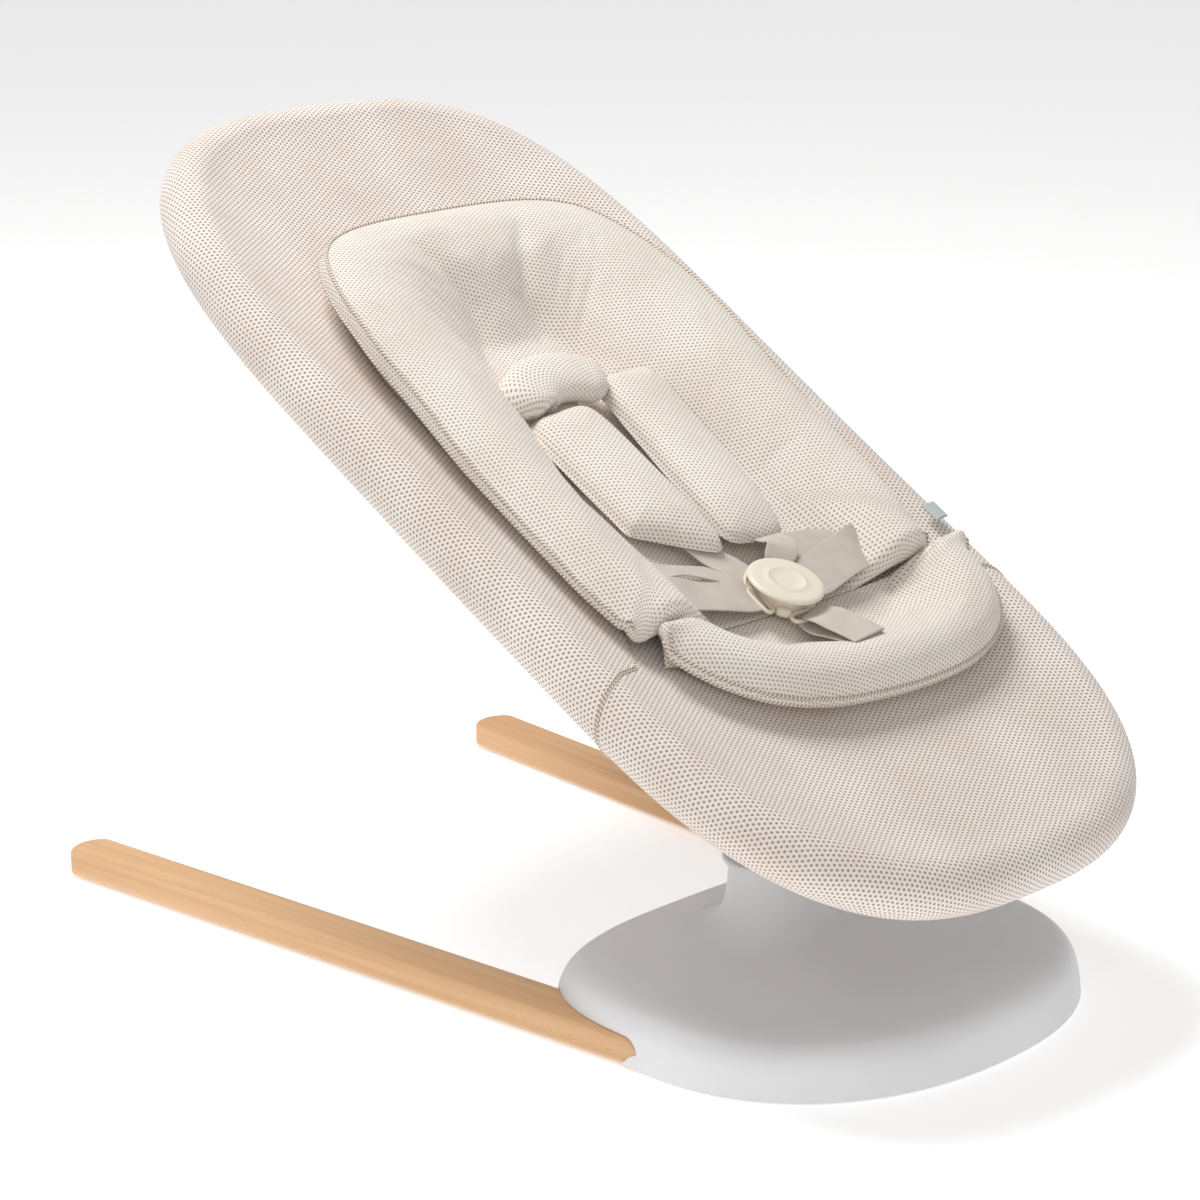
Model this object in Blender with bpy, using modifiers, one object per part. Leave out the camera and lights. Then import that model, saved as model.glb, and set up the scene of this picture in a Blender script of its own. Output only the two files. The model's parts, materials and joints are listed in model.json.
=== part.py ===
"""Bouncer seat: an oval mesh seat on a sprung, reclining hub, a moulded base and two splayed wooden legs.

World frame: metres, +Z up, origin on the floor under the axis of the neck, +Y towards the head end.
Seat pieces are placed in seat coordinates: x across, u along the seat from the foot end of its frame, and
n square to the seat plane, upwards.
"""

import math

import bmesh
import bpy
import numpy as np
from mathutils import Matrix, Vector

MM = 0.001
GAP = 0.3 * MM                      # kept between pieces that touch

# Seat: the centre line of its frame tube
SEAT_TILT = math.radians(29.8)
SEAT_LENGTH = 810 * MM
FOOT_HALF_WIDTH = 187 * MM
HEAD_HALF_WIDTH = 196 * MM
FOOT_ROUND_LENGTH = 243 * MM
HEAD_ROUND_LENGTH = 313 * MM
FOOT_EXPONENT = 2.86
HEAD_EXPONENT = 3.31
SEAT_SAG = 7 * MM
PIVOT_ALONG_SEAT = 185 * MM         # recline axis, from the foot end of the frame
PIVOT_BELOW_SEAT = 113 * MM
PIVOT_HEIGHT = 140 * MM

# Padded rim and its cover
RIM_RADIUS = 22 * MM
COVER_THICKNESS = 4 * MM
FRAME_TUBE_RADIUS = 8 * MM
FOAM_GAP = 1.2 * MM
SEAT_STATIONS = 48                  # points around the frame
DECK_EDGE_INSET = 27 * MM
DECK_EDGE_HEIGHT = 13 * MM
SLOT_FROM = math.radians(262)       # the open stretch under the rim, angles from inwards through the top
SLOT_TO = math.radians(365)

# Newborn insert
INSERT_FOOT = 146 * MM
INSERT_HEAD = 679 * MM
INSERT_MIDDLE_HEIGHT = 9 * MM
INSERT_BORDER_HEIGHT = 50 * MM
INSERT_CLEARANCE = 2.5 * MM

# Harness
WEBBING_WIDTH = 25 * MM
WEBBING_THICKNESS = 1.6 * MM
STRAP_HEIGHT = 11.5 * MM
PAD_LENGTH = 168 * MM
PAD_WIDTH = 46 * MM
PAD_THICKNESS = 19 * MM
PAD_SPACING = 60 * MM
PAD_FOOT = 272 * MM
PAD_HEAD = PAD_FOOT + PAD_LENGTH
BUCKLE_ALONG_SEAT = 255 * MM
BUCKLE_HEIGHT = 10.5 * MM
BUCKLE_BODY_RADIUS = 19 * MM
BUCKLE_BODY_THICKNESS = 9.5 * MM
BUTTON_RADIUS = 28 * MM
BUTTON_THICKNESS = 4.5 * MM
BUTTON_TRAVEL = 3 * MM

# Carrier, spring bars and cross tubes
CROSS_TUBE_RADIUS = 6 * MM
CROSS_TUBE_DEPTH = 33 * MM
CROSS_FRONT = 125 * MM
CROSS_REAR = 430 * MM
CROSS_END_GAP = 1.5 * MM
BAR_RADIUS = 4 * MM
BAR_SPACING = 64 * MM
BAR_SLACK = 1.0 * MM
BAR_OVERHANG = 14 * MM
BLOCK_LENGTH = 22 * MM
BLOCK_WALL = 4 * MM
CLAMP_HALF_LENGTH = 8 * MM
CLAMP_THICKNESS = 5 * MM
CLAMP_SCREW_OFFSET = 12 * MM
CARRIER_WEB_HALF_DEPTH = 17 * MM
CARRIER_WEB_INSET = 2 * MM

# Hub
DRUM_RADIUS = 29 * MM
DRUM_HALF_WIDTH = 13 * MM
CHEEK_THICKNESS = 8 * MM
CHEEK_HALF_DEPTH = 20 * MM
AXLE_RADIUS = 6 * MM
RUNNING_GAP = 0.08 * MM
HUB_COVER_RADIUS = 39 * MM
HUB_COVER_HALF_WIDTH = 30 * MM
HUB_COVER_WALL = 2.5 * MM
HUB_COVER_TOP = 57 * MM
DETENT_STEP = math.radians(6)
DETENT_COUNT = 4
DETENT_WIDTH = 2 * MM
DETENT_DEPTH = 3.4 * MM
YOKE_TOP = 88 * MM                  # shoulder that the two cheeks stand on
YOKE_FOOT = 45 * MM
CHEEK_TOP = 10 * MM                 # above the recline axis
AXLE_HEAD = 2 * MM
CLIP_THICKNESS = 1.2 * MM
COVER_SCREW_ACROSS = 30 * MM        # from the recline axis, along the seat and square to it
COVER_SCREW_UP = 40 * MM
PLUNGER_RADIUS = 4 * MM
PLUNGER_FLANGE_RADIUS = 7.5 * MM
PLUNGER_FLANGE_THICKNESS = 2 * MM
PLUNGER_FOOT = 52 * MM
SPRING_RADIUS = 6.4 * MM
SPRING_WIRE_RADIUS = 0.6 * MM
SPRING_FOOT = 66 * MM               # bottom of the pocket that holds the lock spring
SPRING_TURNS = 5
COIL_STEPS = 8
LEVER_WIDTH = 22 * MM
LEVER_THICKNESS = 3.2 * MM
LEVER_REACH = 52 * MM
LEVER_PIN_OFFSET = 14 * MM
LEVER_PIN_RADIUS = 2 * MM
LEVER_TAIL = 7 * MM                 # behind the plunger's axis
LEVER_SLOT_HALF_LENGTH = 6.2 * MM
LEVER_SLOT_SIDE_GAP = 0.8 * MM

# Base
BASE_HALF_WIDTH = 187 * MM
BASE_HALF_LENGTH = 157 * MM
BASE_CENTRE_Y = -53 * MM
BASE_WALL = 3 * MM
BASE_LIFT = 1.8 * MM
NECK_RADIUS = 33 * MM
NECK_TOP = 90 * MM
COLLAR_RADIUS = 38 * MM
COLLAR_THICKNESS = 4 * MM
PAD_RUBBER = 1.5 * MM
CENTRE_PAD_RADIUS = 30 * MM
FRONT_PAD_RADIUS = 12 * MM
BOTTOM_THICKNESS = 2.5 * MM
POST_RADIUS = 22 * MM
POST_WALL = 4 * MM
POST_TOP = 59.5 * MM
POST_FLANGE_RADIUS = 40 * MM
PLATE_THICKNESS = 3 * MM
PLATE_EAR_INSET = 16 * MM           # the plate's ends, inside the base's sides
PLATE_EAR_FRONT = -38 * MM
PLATE_EAR_REAR = 14 * MM
PLATE_MIDDLE_HALF_WIDTH = 90 * MM
PLATE_MIDDLE_REAR = 48 * MM
FRONT_PAD_SPOT = (105 * MM, -145 * MM)

# Legs
LEG_FRONT_Y = -45 * MM
LEG_SPLAY = math.radians(4.95)
LEG_LENGTH = 572 * MM
LEG_WIDTH = 39 * MM
LEG_FLUSH_INSET = 2 * MM            # a leg's outer side, inside the base's widest level
LEG_HEIGHT = 19 * MM
LEG_CORNER = 16 * MM
LEG_EDGE = 2.5 * MM
LEG_NOTCH_GAP = 0.5 * MM
SCREW_RADIUS = 2 * MM
SCREW_HEAD_RADIUS = 4 * MM
SCREW_HEAD_THICKNESS = 2 * MM
SCREW_LENGTH = 16 * MM

LEG_FRONT_SPACING = 2 * (BASE_HALF_WIDTH - LEG_FLUSH_INSET) - LEG_WIDTH
LEG_BOTTOM = PAD_RUBBER + GAP
LEG_TOP = LEG_BOTTOM + LEG_HEIGHT
PLATE_BOTTOM = LEG_TOP + GAP
PLATE_TOP = PLATE_BOTTOM + PLATE_THICKNESS


# ---------------------------------------------------------------- scene and helpers

def clear_scene():
    """Remove whatever the file opened with."""
    for item in list(bpy.data.objects):
        bpy.data.objects.remove(item, do_unlink=True)


def collection(name):
    """Make a collection in the scene."""
    group = bpy.data.collections.new(name)
    bpy.context.scene.collection.children.link(group)
    return group


def empty(name, location, tilt=0.0):
    """An axis marker that pieces are parented to."""
    marker = bpy.data.objects.new(name, None)
    marker.location = location
    marker.rotation_euler = (tilt, 0, 0)
    PARTS.objects.link(marker)
    return marker


def finish(name, colour, roughness, metallic=0.0):
    """A Principled material with one colour."""
    material = bpy.data.materials.new(name)
    material.use_nodes = True
    shader = material.node_tree.nodes["Principled BSDF"]
    shader.inputs["Base Color"].default_value = (*colour, 1.0)
    shader.inputs["Roughness"].default_value = roughness
    shader.inputs["Metallic"].default_value = metallic
    material.diffuse_color = (*colour, 1.0)
    return material


def place(piece, name, material, parent=None, location=(0, 0, 0), rotation=(0, 0, 0)):
    """Name a piece, give it its material and put it where it belongs."""
    piece.name = name
    if piece.name not in PARTS.objects:
        PARTS.objects.link(piece)
    piece.data.materials.clear()
    piece.data.materials.append(material)
    piece.parent = parent
    piece.location = location
    piece.rotation_euler = rotation
    return piece


def hide(tool, target=None):
    """Keep a cutter or a shape to be joined out of the model."""
    for group in list(tool.users_collection):
        group.objects.unlink(tool)
    CUTTERS.objects.link(tool)
    tool.hide_render = True
    tool.display_type = "WIRE"
    if target is not None:
        tool.parent = target.parent
    return tool


def boolean(target, tool, operation="DIFFERENCE"):
    """Cut, join or intersect a piece with a hidden shape."""
    step = target.modifiers.new(f"{operation.lower()}_{tool.name}", "BOOLEAN")
    step.operation = operation
    step.object = tool
    return target


def bevel(piece, width, segments=2):
    """Round the sharp edges of a piece."""
    step = piece.modifiers.new("rounded_edges", "BEVEL")
    step.width = width
    step.segments = segments
    step.limit_method = "ANGLE"
    step.angle_limit = math.radians(40)
    return piece


def from_bmesh(name, shape, smooth=False):
    """Turn a bmesh into an object."""
    mesh = bpy.data.meshes.new(name)
    shape.to_mesh(mesh)
    shape.free()
    if smooth:
        mesh.shade_smooth()
        mesh.set_sharp_from_angle(angle=math.radians(40))
    return bpy.data.objects.new(name, mesh)


def box(name, low, high):
    """A box between two corners."""
    low, high = Vector(low), Vector(high)
    shape = bmesh.new()
    matrix = Matrix.Translation((low + high) / 2) @ Matrix.Diagonal((*(high - low), 1.0))
    bmesh.ops.create_cube(shape, size=1.0, matrix=matrix)
    return from_bmesh(name, shape)


def cylinder(name, radius, start, end, sides=24):
    """A cylinder between two points."""
    start, end = Vector(start), Vector(end)
    along = end - start
    turn = Vector((0, 0, 1)).rotation_difference(along).to_matrix().to_4x4()
    shape = bmesh.new()
    bmesh.ops.create_cone(
        shape, cap_ends=True, segments=sides, radius1=radius, radius2=radius, depth=along.length,
        matrix=Matrix.Translation((start + end) / 2) @ turn,
    )
    return from_bmesh(name, shape, smooth=True)


def turned(name, profile, sides=24, closed=False):
    """A profile of (radius, height) points, listed down its outer side, turned about Z."""
    mesh = bpy.data.meshes.new(name)
    edges = [(i, i + 1) for i in range(len(profile) - 1)]
    if closed:
        edges.append((len(profile) - 1, 0))
    mesh.from_pydata([(r, 0, z) for r, z in profile], edges, [])
    piece = bpy.data.objects.new(name, mesh)
    step = piece.modifiers.new("turned", "SCREW")
    step.steps = sides
    step.render_steps = sides
    step.use_merge_vertices = True
    step.merge_threshold = 0.00005
    step.use_smooth_shade = True
    return piece


def plain_screw(seat_of_head, tip):
    """A screw along Z with a flat head, from the seat of its head down to its tip."""
    top = seat_of_head + SCREW_HEAD_THICKNESS
    profile = [(0, top), (SCREW_HEAD_RADIUS, top), (SCREW_HEAD_RADIUS, seat_of_head),
               (SCREW_RADIUS, seat_of_head), (SCREW_RADIUS, tip), (0, tip)]
    return turned("screw", profile, 12)


def as_mesh(curve):
    """Replace a curve object by the mesh that it shows, with its caps welded."""
    PARTS.objects.link(curve)
    bpy.context.view_layer.update()
    graph = bpy.context.evaluated_depsgraph_get()
    mesh = bpy.data.meshes.new_from_object(curve.evaluated_get(graph))
    name = curve.name
    place_of = curve.matrix_world.copy()
    bpy.data.objects.remove(curve, do_unlink=True)
    shape = bmesh.new()
    shape.from_mesh(mesh)
    bmesh.ops.remove_doubles(shape, verts=shape.verts, dist=0.00001)
    shape.to_mesh(mesh)
    shape.free()
    solid = bpy.data.objects.new(name, mesh)
    solid.matrix_world = place_of
    return solid


def tube(name, points, radius, cyclic=False, resolution=2):
    """A round bar or tube outline along a line of points."""
    data = bpy.data.curves.new(name, "CURVE")
    data.dimensions = "3D"
    data.bevel_depth = radius
    data.bevel_resolution = resolution
    data.use_fill_caps = not cyclic
    spline = data.splines.new("POLY")
    spline.points.add(len(points) - 1)
    for knot, point in zip(spline.points, points):
        knot.co = (*point, 1.0)
    spline.use_cyclic_u = cyclic
    spline.use_smooth = True
    return bpy.data.objects.new(name, data)


def outline_solid(name, outline, bottom, top):
    """A flat outline in X and Y, made solid between two heights."""
    data = bpy.data.curves.new(name, "CURVE")
    data.dimensions = "2D"
    data.fill_mode = "BOTH"
    data.extrude = (top - bottom) / 2
    spline = data.splines.new("POLY")
    spline.points.add(len(outline) - 1)
    for knot, (x, y) in zip(spline.points, outline):
        knot.co = (x, y, 0, 1.0)
    spline.use_cyclic_u = True
    solid = as_mesh(bpy.data.objects.new(name, data))
    solid.data.transform(Matrix.Translation((0, 0, (top + bottom) / 2)))
    return solid


def ring_surface(name, rings, first_centre=None, last_centre=None):
    """Faces through rings of equal count, each closed; a centre point closes an end."""
    count = len(rings[0])
    vertices = [tuple(point) for ring in rings for point in ring]
    faces = []
    for row in range(len(rings) - 1):
        for i in range(count):
            j = (i + 1) % count
            faces.append((row * count + i, row * count + j, (row + 1) * count + j, (row + 1) * count + i))
    if first_centre is not None:
        vertices.append(tuple(first_centre))
        hub = len(vertices) - 1
        faces.extend((hub, (i + 1) % count, i) for i in range(count))
    if last_centre is not None:
        vertices.append(tuple(last_centre))
        hub = len(vertices) - 1
        last = (len(rings) - 1) * count
        faces.extend((hub, last + i, last + (i + 1) % count) for i in range(count))
    mesh = bpy.data.meshes.new(name)
    mesh.from_pydata(vertices, [], faces)
    shape = bmesh.new()
    shape.from_mesh(mesh)
    bmesh.ops.recalc_face_normals(shape, faces=shape.faces)
    shape.to_mesh(mesh)
    shape.free()
    mesh.shade_smooth()
    return bpy.data.objects.new(name, mesh)


def smooth_line(points, per_span=6):
    """Points along a Catmull-Rom curve through a few given ones."""
    knots = [np.array(p, dtype=float) for p in points]
    knots = [2 * knots[0] - knots[1], *knots, 2 * knots[-1] - knots[-2]]
    line = []
    for a, b, c, d in zip(knots, knots[1:], knots[2:], knots[3:]):
        for t in np.arange(per_span) / per_span:
            line.append(0.5 * (2 * b + (c - a) * t + (2 * a - 5 * b + 4 * c - d) * t**2
                               + (3 * b - a - 3 * c + d) * t**3))
    line.append(knots[-2])
    return line


# ---------------------------------------------------------------- seat coordinates

def seat_point(x, u, n):
    """A point in seat coordinates, as the seat's axis marker sees it."""
    return Vector((x, u - PIVOT_ALONG_SEAT, n + PIVOT_BELOW_SEAT))


def frame_half_width(u):
    """Half the frame's width, at its centre line, at a distance along the seat."""
    width = FOOT_HALF_WIDTH + (HEAD_HALF_WIDTH - FOOT_HALF_WIDTH) * u / SEAT_LENGTH
    foot = np.clip((FOOT_ROUND_LENGTH - u) / FOOT_ROUND_LENGTH, 0, 1)
    head = np.clip((HEAD_ROUND_LENGTH - (SEAT_LENGTH - u)) / HEAD_ROUND_LENGTH, 0, 1)
    rounding = (1 - foot**FOOT_EXPONENT) ** (1 / FOOT_EXPONENT)
    return width * rounding * (1 - head**HEAD_EXPONENT) ** (1 / HEAD_EXPONENT)


def frame_sag(u):
    """How far the frame's middle hangs below the line between its ends."""
    return -SEAT_SAG * (1 - (2 * u / SEAT_LENGTH - 1) ** 2)


def even_outline(x_half, u, count):
    """A closed outline of evenly spaced points from one half of it, foot to head."""
    whole_x = np.concatenate([x_half, -x_half[-2:0:-1]])
    whole_u = np.concatenate([u, u[-2:0:-1]])
    closed_x = np.append(whole_x, whole_x[0])
    closed_u = np.append(whole_u, whole_u[0])
    run = np.concatenate([[0], np.cumsum(np.hypot(np.diff(closed_x), np.diff(closed_u)))])
    stops = np.arange(count) * run[-1] / count
    return np.column_stack([np.interp(stops, run, closed_x), np.interp(stops, run, closed_u)])


def frame_outline(count=SEAT_STATIONS):
    """The frame's centre line in x and u, and its inward normals."""
    u = SEAT_LENGTH * (1 - np.cos(np.linspace(0, math.pi, 801))) / 2
    outline = even_outline(frame_half_width(u), u, count)
    along = np.roll(outline, -1, axis=0) - np.roll(outline, 1, axis=0)
    along /= np.linalg.norm(along, axis=1)[:, None]
    return outline, np.column_stack([-along[:, 1], along[:, 0]])


def rim_ring(outline, inward, inset, height):
    """A ring at a distance inwards from the frame's centre line and a height above it."""
    spots = outline + inward * inset
    return [seat_point(x, u, height + frame_sag(v)) for (x, u), v in zip(spots, outline[:, 1])]


def deck_height(share):
    """Height of the sling, by its share of the way from the middle to its edge."""
    return DECK_EDGE_HEIGHT * share**3


def deck_rings(outline, inward, shares):
    """Rings of the sling, inside its edge."""
    edge = outline + inward * DECK_EDGE_INSET
    middle = np.array([0, SEAT_LENGTH / 2])
    rings = []
    for share in shares:
        spots = middle + (edge - middle) * share
        sag = [frame_sag(SEAT_LENGTH / 2) * (1 - share) + frame_sag(v) * share for v in outline[:, 1]]
        rings.append([seat_point(x, u, deck_height(share) + s) for (x, u), s in zip(spots, sag)])
    return rings


# ---------------------------------------------------------------- base and legs

def base_ring(half_width, half_length, centre_y, height, roundness=0.0, count=44):
    """One level of the base: a squarish oval, squarer at the rear, or a circle at roundness 1."""
    ring = []
    for turn in np.arange(count) * 2 * math.pi / count:
        squareness = 3.0 if math.sin(turn) > 0 else 2.25
        power = 2 / (squareness + (2 - squareness) * roundness)
        x = half_width * math.copysign(abs(math.cos(turn)) ** power, math.cos(turn))
        y = half_length * math.copysign(abs(math.sin(turn)) ** power, math.sin(turn))
        ring.append((x, centre_y + y, height))
    return ring


def base_outline(inset, height=0.0):
    """The base's outline, moved inwards."""
    return base_ring(BASE_HALF_WIDTH - inset, BASE_HALF_LENGTH - inset, BASE_CENTRE_Y, height)


def leg_side(gap, reach=0.0):
    """Side view of a leg, with its rounded front top corner, as (along, height) points."""
    corner = LEG_CORNER + gap
    turns = np.linspace(math.pi, math.pi / 2, 7)
    arc = [(corner * (1 + math.cos(t)) - gap, LEG_TOP + gap - corner * (1 - math.sin(t))) for t in turns]
    low = LEG_BOTTOM - reach
    return [(-gap, low), *arc, (LEG_LENGTH, LEG_TOP + gap), (LEG_LENGTH, low)]


def leg_bar(name, side, width):
    """A leg's side view made solid across its width, along +Y from its front end."""
    bar = outline_solid(name, side, -width / 2, width / 2)
    bar.data.transform(Matrix(((0, 0, 1, 0), (1, 0, 0, 0), (0, 1, 0, 0), (0, 0, 0, 1))))
    return bar


def leg_plan():
    """Plan of a leg: a square front end and a soft rear end."""
    half = LEG_WIDTH / 2
    turns = np.linspace(0, math.pi, 11)
    rear = [(half * math.cos(t), LEG_LENGTH - half * 0.55 + half * 0.55 * math.sin(t)) for t in turns]
    return [(-half, -MM), (half, -MM), *rear]


def leg_screw_spots():
    """Where a leg's two screws go, along and across the leg, for the right-hand leg."""
    return [(-4 * MM, 25 * MM), (-4 * MM, 53 * MM)]


def build_legs():
    """The two legs, their grip strips and the cutters for their notches in the base."""
    notches = []
    for side, sign in (("left", -1), ("right", 1)):
        spot = (sign * LEG_FRONT_SPACING / 2, LEG_FRONT_Y, 0)
        turn = (0, 0, -sign * LEG_SPLAY)
        leg = place(leg_bar(f"leg_{side}", leg_side(0), LEG_WIDTH), f"leg_{side}", BEECH, None, spot, turn)
        plan = outline_solid(f"leg_plan_{side}", leg_plan(), -LEG_HEIGHT, 3 * LEG_HEIGHT)
        hide(plan)
        plan.location, plan.rotation_euler = spot, turn
        boolean(leg, plan, "INTERSECT")
        bevel(leg, LEG_EDGE)
        for index, (across, along) in enumerate(leg_screw_spots()):
            low = PLATE_TOP - SCREW_LENGTH - MM
            hole = cylinder(f"leg_hole_{side}_{index}", SCREW_RADIUS + GAP / 2, (sign * across, along, low),
                            (sign * across, along, low + 3 * SCREW_LENGTH), 12)
            hide(hole)
            hole.location, hole.rotation_euler = spot, turn
            boolean(leg, hole)
            head = PLATE_TOP + GAP
            screw = turned("screw", [(0, head + 2.2 * MM), (SCREW_HEAD_RADIUS - 0.5 * MM, head + 2.2 * MM),
                                     (SCREW_HEAD_RADIUS, head + 1.5 * MM), (SCREW_HEAD_RADIUS, head),
                                     (SCREW_RADIUS, head), (SCREW_RADIUS, PLATE_TOP - SCREW_LENGTH + MM),
                                     (0, PLATE_TOP - SCREW_LENGTH)], 12)
            turned_by = Matrix.Rotation(-sign * LEG_SPLAY, 3, "Z")
            centre = turned_by @ Vector((sign * across, along, 0)) + Vector(spot)
            place(screw, f"leg_screw_{side}_{index + 1}", STEEL, None, centre)
            SCREW_CENTRES.append(centre)
        strip_half = LEG_WIDTH / 2 - 6 * MM
        strip_end = LEG_LENGTH - 16 * MM
        strip = outline_solid("strip", [(-strip_half, 8 * MM), (strip_half, 8 * MM), (strip_half, strip_end),
                                        (-strip_half, strip_end)], 0, PAD_RUBBER)
        place(strip, f"leg_grip_{side}", RUBBER, None, spot, turn)
        notch = leg_bar(f"leg_notch_{side}", leg_side(LEG_NOTCH_GAP, 20 * MM), LEG_WIDTH + 2 * LEG_NOTCH_GAP)
        hide(notch)
        notch.location, notch.rotation_euler = spot, turn
        notches.append(notch)
    return notches


def build_base(notches):
    """The moulded cover with its neck, its bottom, the grip pads and the support plate."""
    wall = [(0, BASE_LIFT), (1 * MM, 10 * MM), (3.5 * MM, 22 * MM), (7.5 * MM, 30 * MM),
            (14.5 * MM, 35.5 * MM), (24 * MM, 37.5 * MM), (36 * MM, 37.3 * MM)]
    rings = [base_outline(inset, height) for inset, height in wall]
    inset, height = wall[-1]
    foot_radius, foot_height = NECK_RADIUS + 27 * MM, 38 * MM
    for share, dip in ((0.35, 2.4 * MM), (0.7, 2.2 * MM)):
        rings.append(base_ring(
            (BASE_HALF_WIDTH - inset) * (1 - share) + foot_radius * share,
            (BASE_HALF_LENGTH - inset) * (1 - share) + foot_radius * share,
            BASE_CENTRE_Y * (1 - share), height * (1 - share) + foot_height * share - dip, share))
    neck = [(foot_radius, foot_height), (NECK_RADIUS + 14 * MM, 43 * MM), (NECK_RADIUS + 5 * MM, 54 * MM),
            (NECK_RADIUS + 1.5 * MM, 69 * MM), (NECK_RADIUS, NECK_TOP)]
    rings.extend(base_ring(radius, radius, 0, level, 1.0) for radius, level in neck)
    shell = ring_surface("base_shell", rings)
    step = shell.modifiers.new("wall", "SOLIDIFY")
    step.thickness = BASE_WALL
    step.offset = -1
    place(shell, "base_shell", WHITE_PLASTIC)
    for notch in notches:
        boolean(shell, notch)

    bottom_outline = [(x, y) for x, y, _ in base_outline(BASE_WALL + 3.5 * MM)]
    bottom = outline_solid("base_bottom", bottom_outline, BASE_LIFT, BASE_LIFT + BOTTOM_THICKNESS)
    place(bottom, "base_bottom", WHITE_PLASTIC)
    for notch in notches:
        boolean(bottom, notch)

    across, forwards = FRONT_PAD_SPOT
    for name, radius, spot in (("centre_pad", CENTRE_PAD_RADIUS, (0, 0)),
                               ("front_pad_left", FRONT_PAD_RADIUS, (-across, forwards)),
                               ("front_pad_right", FRONT_PAD_RADIUS, (across, forwards))):
        pad = cylinder(name, radius, (*spot, 0), (*spot, PAD_RUBBER), 32)
        place(pad, name, RUBBER)


def build_post():
    """The support plate between the legs, the post on it and the collar at the neck's top."""
    ear, middle = BASE_HALF_WIDTH - PLATE_EAR_INSET, PLATE_MIDDLE_HALF_WIDTH
    outline = [(-ear, PLATE_EAR_FRONT), (ear, PLATE_EAR_FRONT), (ear, PLATE_EAR_REAR),
               (middle, PLATE_MIDDLE_REAR), (-middle, PLATE_MIDDLE_REAR), (-ear, PLATE_EAR_REAR)]
    plate = outline_solid("support_plate", outline, PLATE_BOTTOM, PLATE_TOP)
    place(plate, "support_plate", STEEL)
    for index, centre in enumerate(SCREW_CENTRES):
        hole = cylinder(f"plate_hole_{index}", SCREW_RADIUS + GAP / 2, (centre.x, centre.y, PLATE_BOTTOM - 5 * MM),
                        (centre.x, centre.y, PLATE_TOP + 5 * MM), 12)
        boolean(plate, hide(hole))

    low = PLATE_TOP + GAP
    bore = POST_RADIUS - POST_WALL
    post = turned("neck_post", [(bore, POST_TOP), (POST_RADIUS, POST_TOP), (POST_RADIUS, low + 5 * MM),
                                (POST_FLANGE_RADIUS, low + 3 * MM), (POST_FLANGE_RADIUS, low), (bore, low)],
                  32, closed=True)
    place(post, "neck_post", STEEL)

    low = NECK_TOP + GAP
    inner = NECK_RADIUS - BASE_WALL
    top = low + COLLAR_THICKNESS
    profile = [(inner, top), (COLLAR_RADIUS - MM, top), (COLLAR_RADIUS, top - MM), (COLLAR_RADIUS, low + MM),
               (COLLAR_RADIUS - MM, low), (inner, low)]
    collar = turned("neck_collar", profile, 40, closed=True)
    place(collar, "neck_collar", WHITE_PLASTIC)


# ---------------------------------------------------------------- hub

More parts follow.
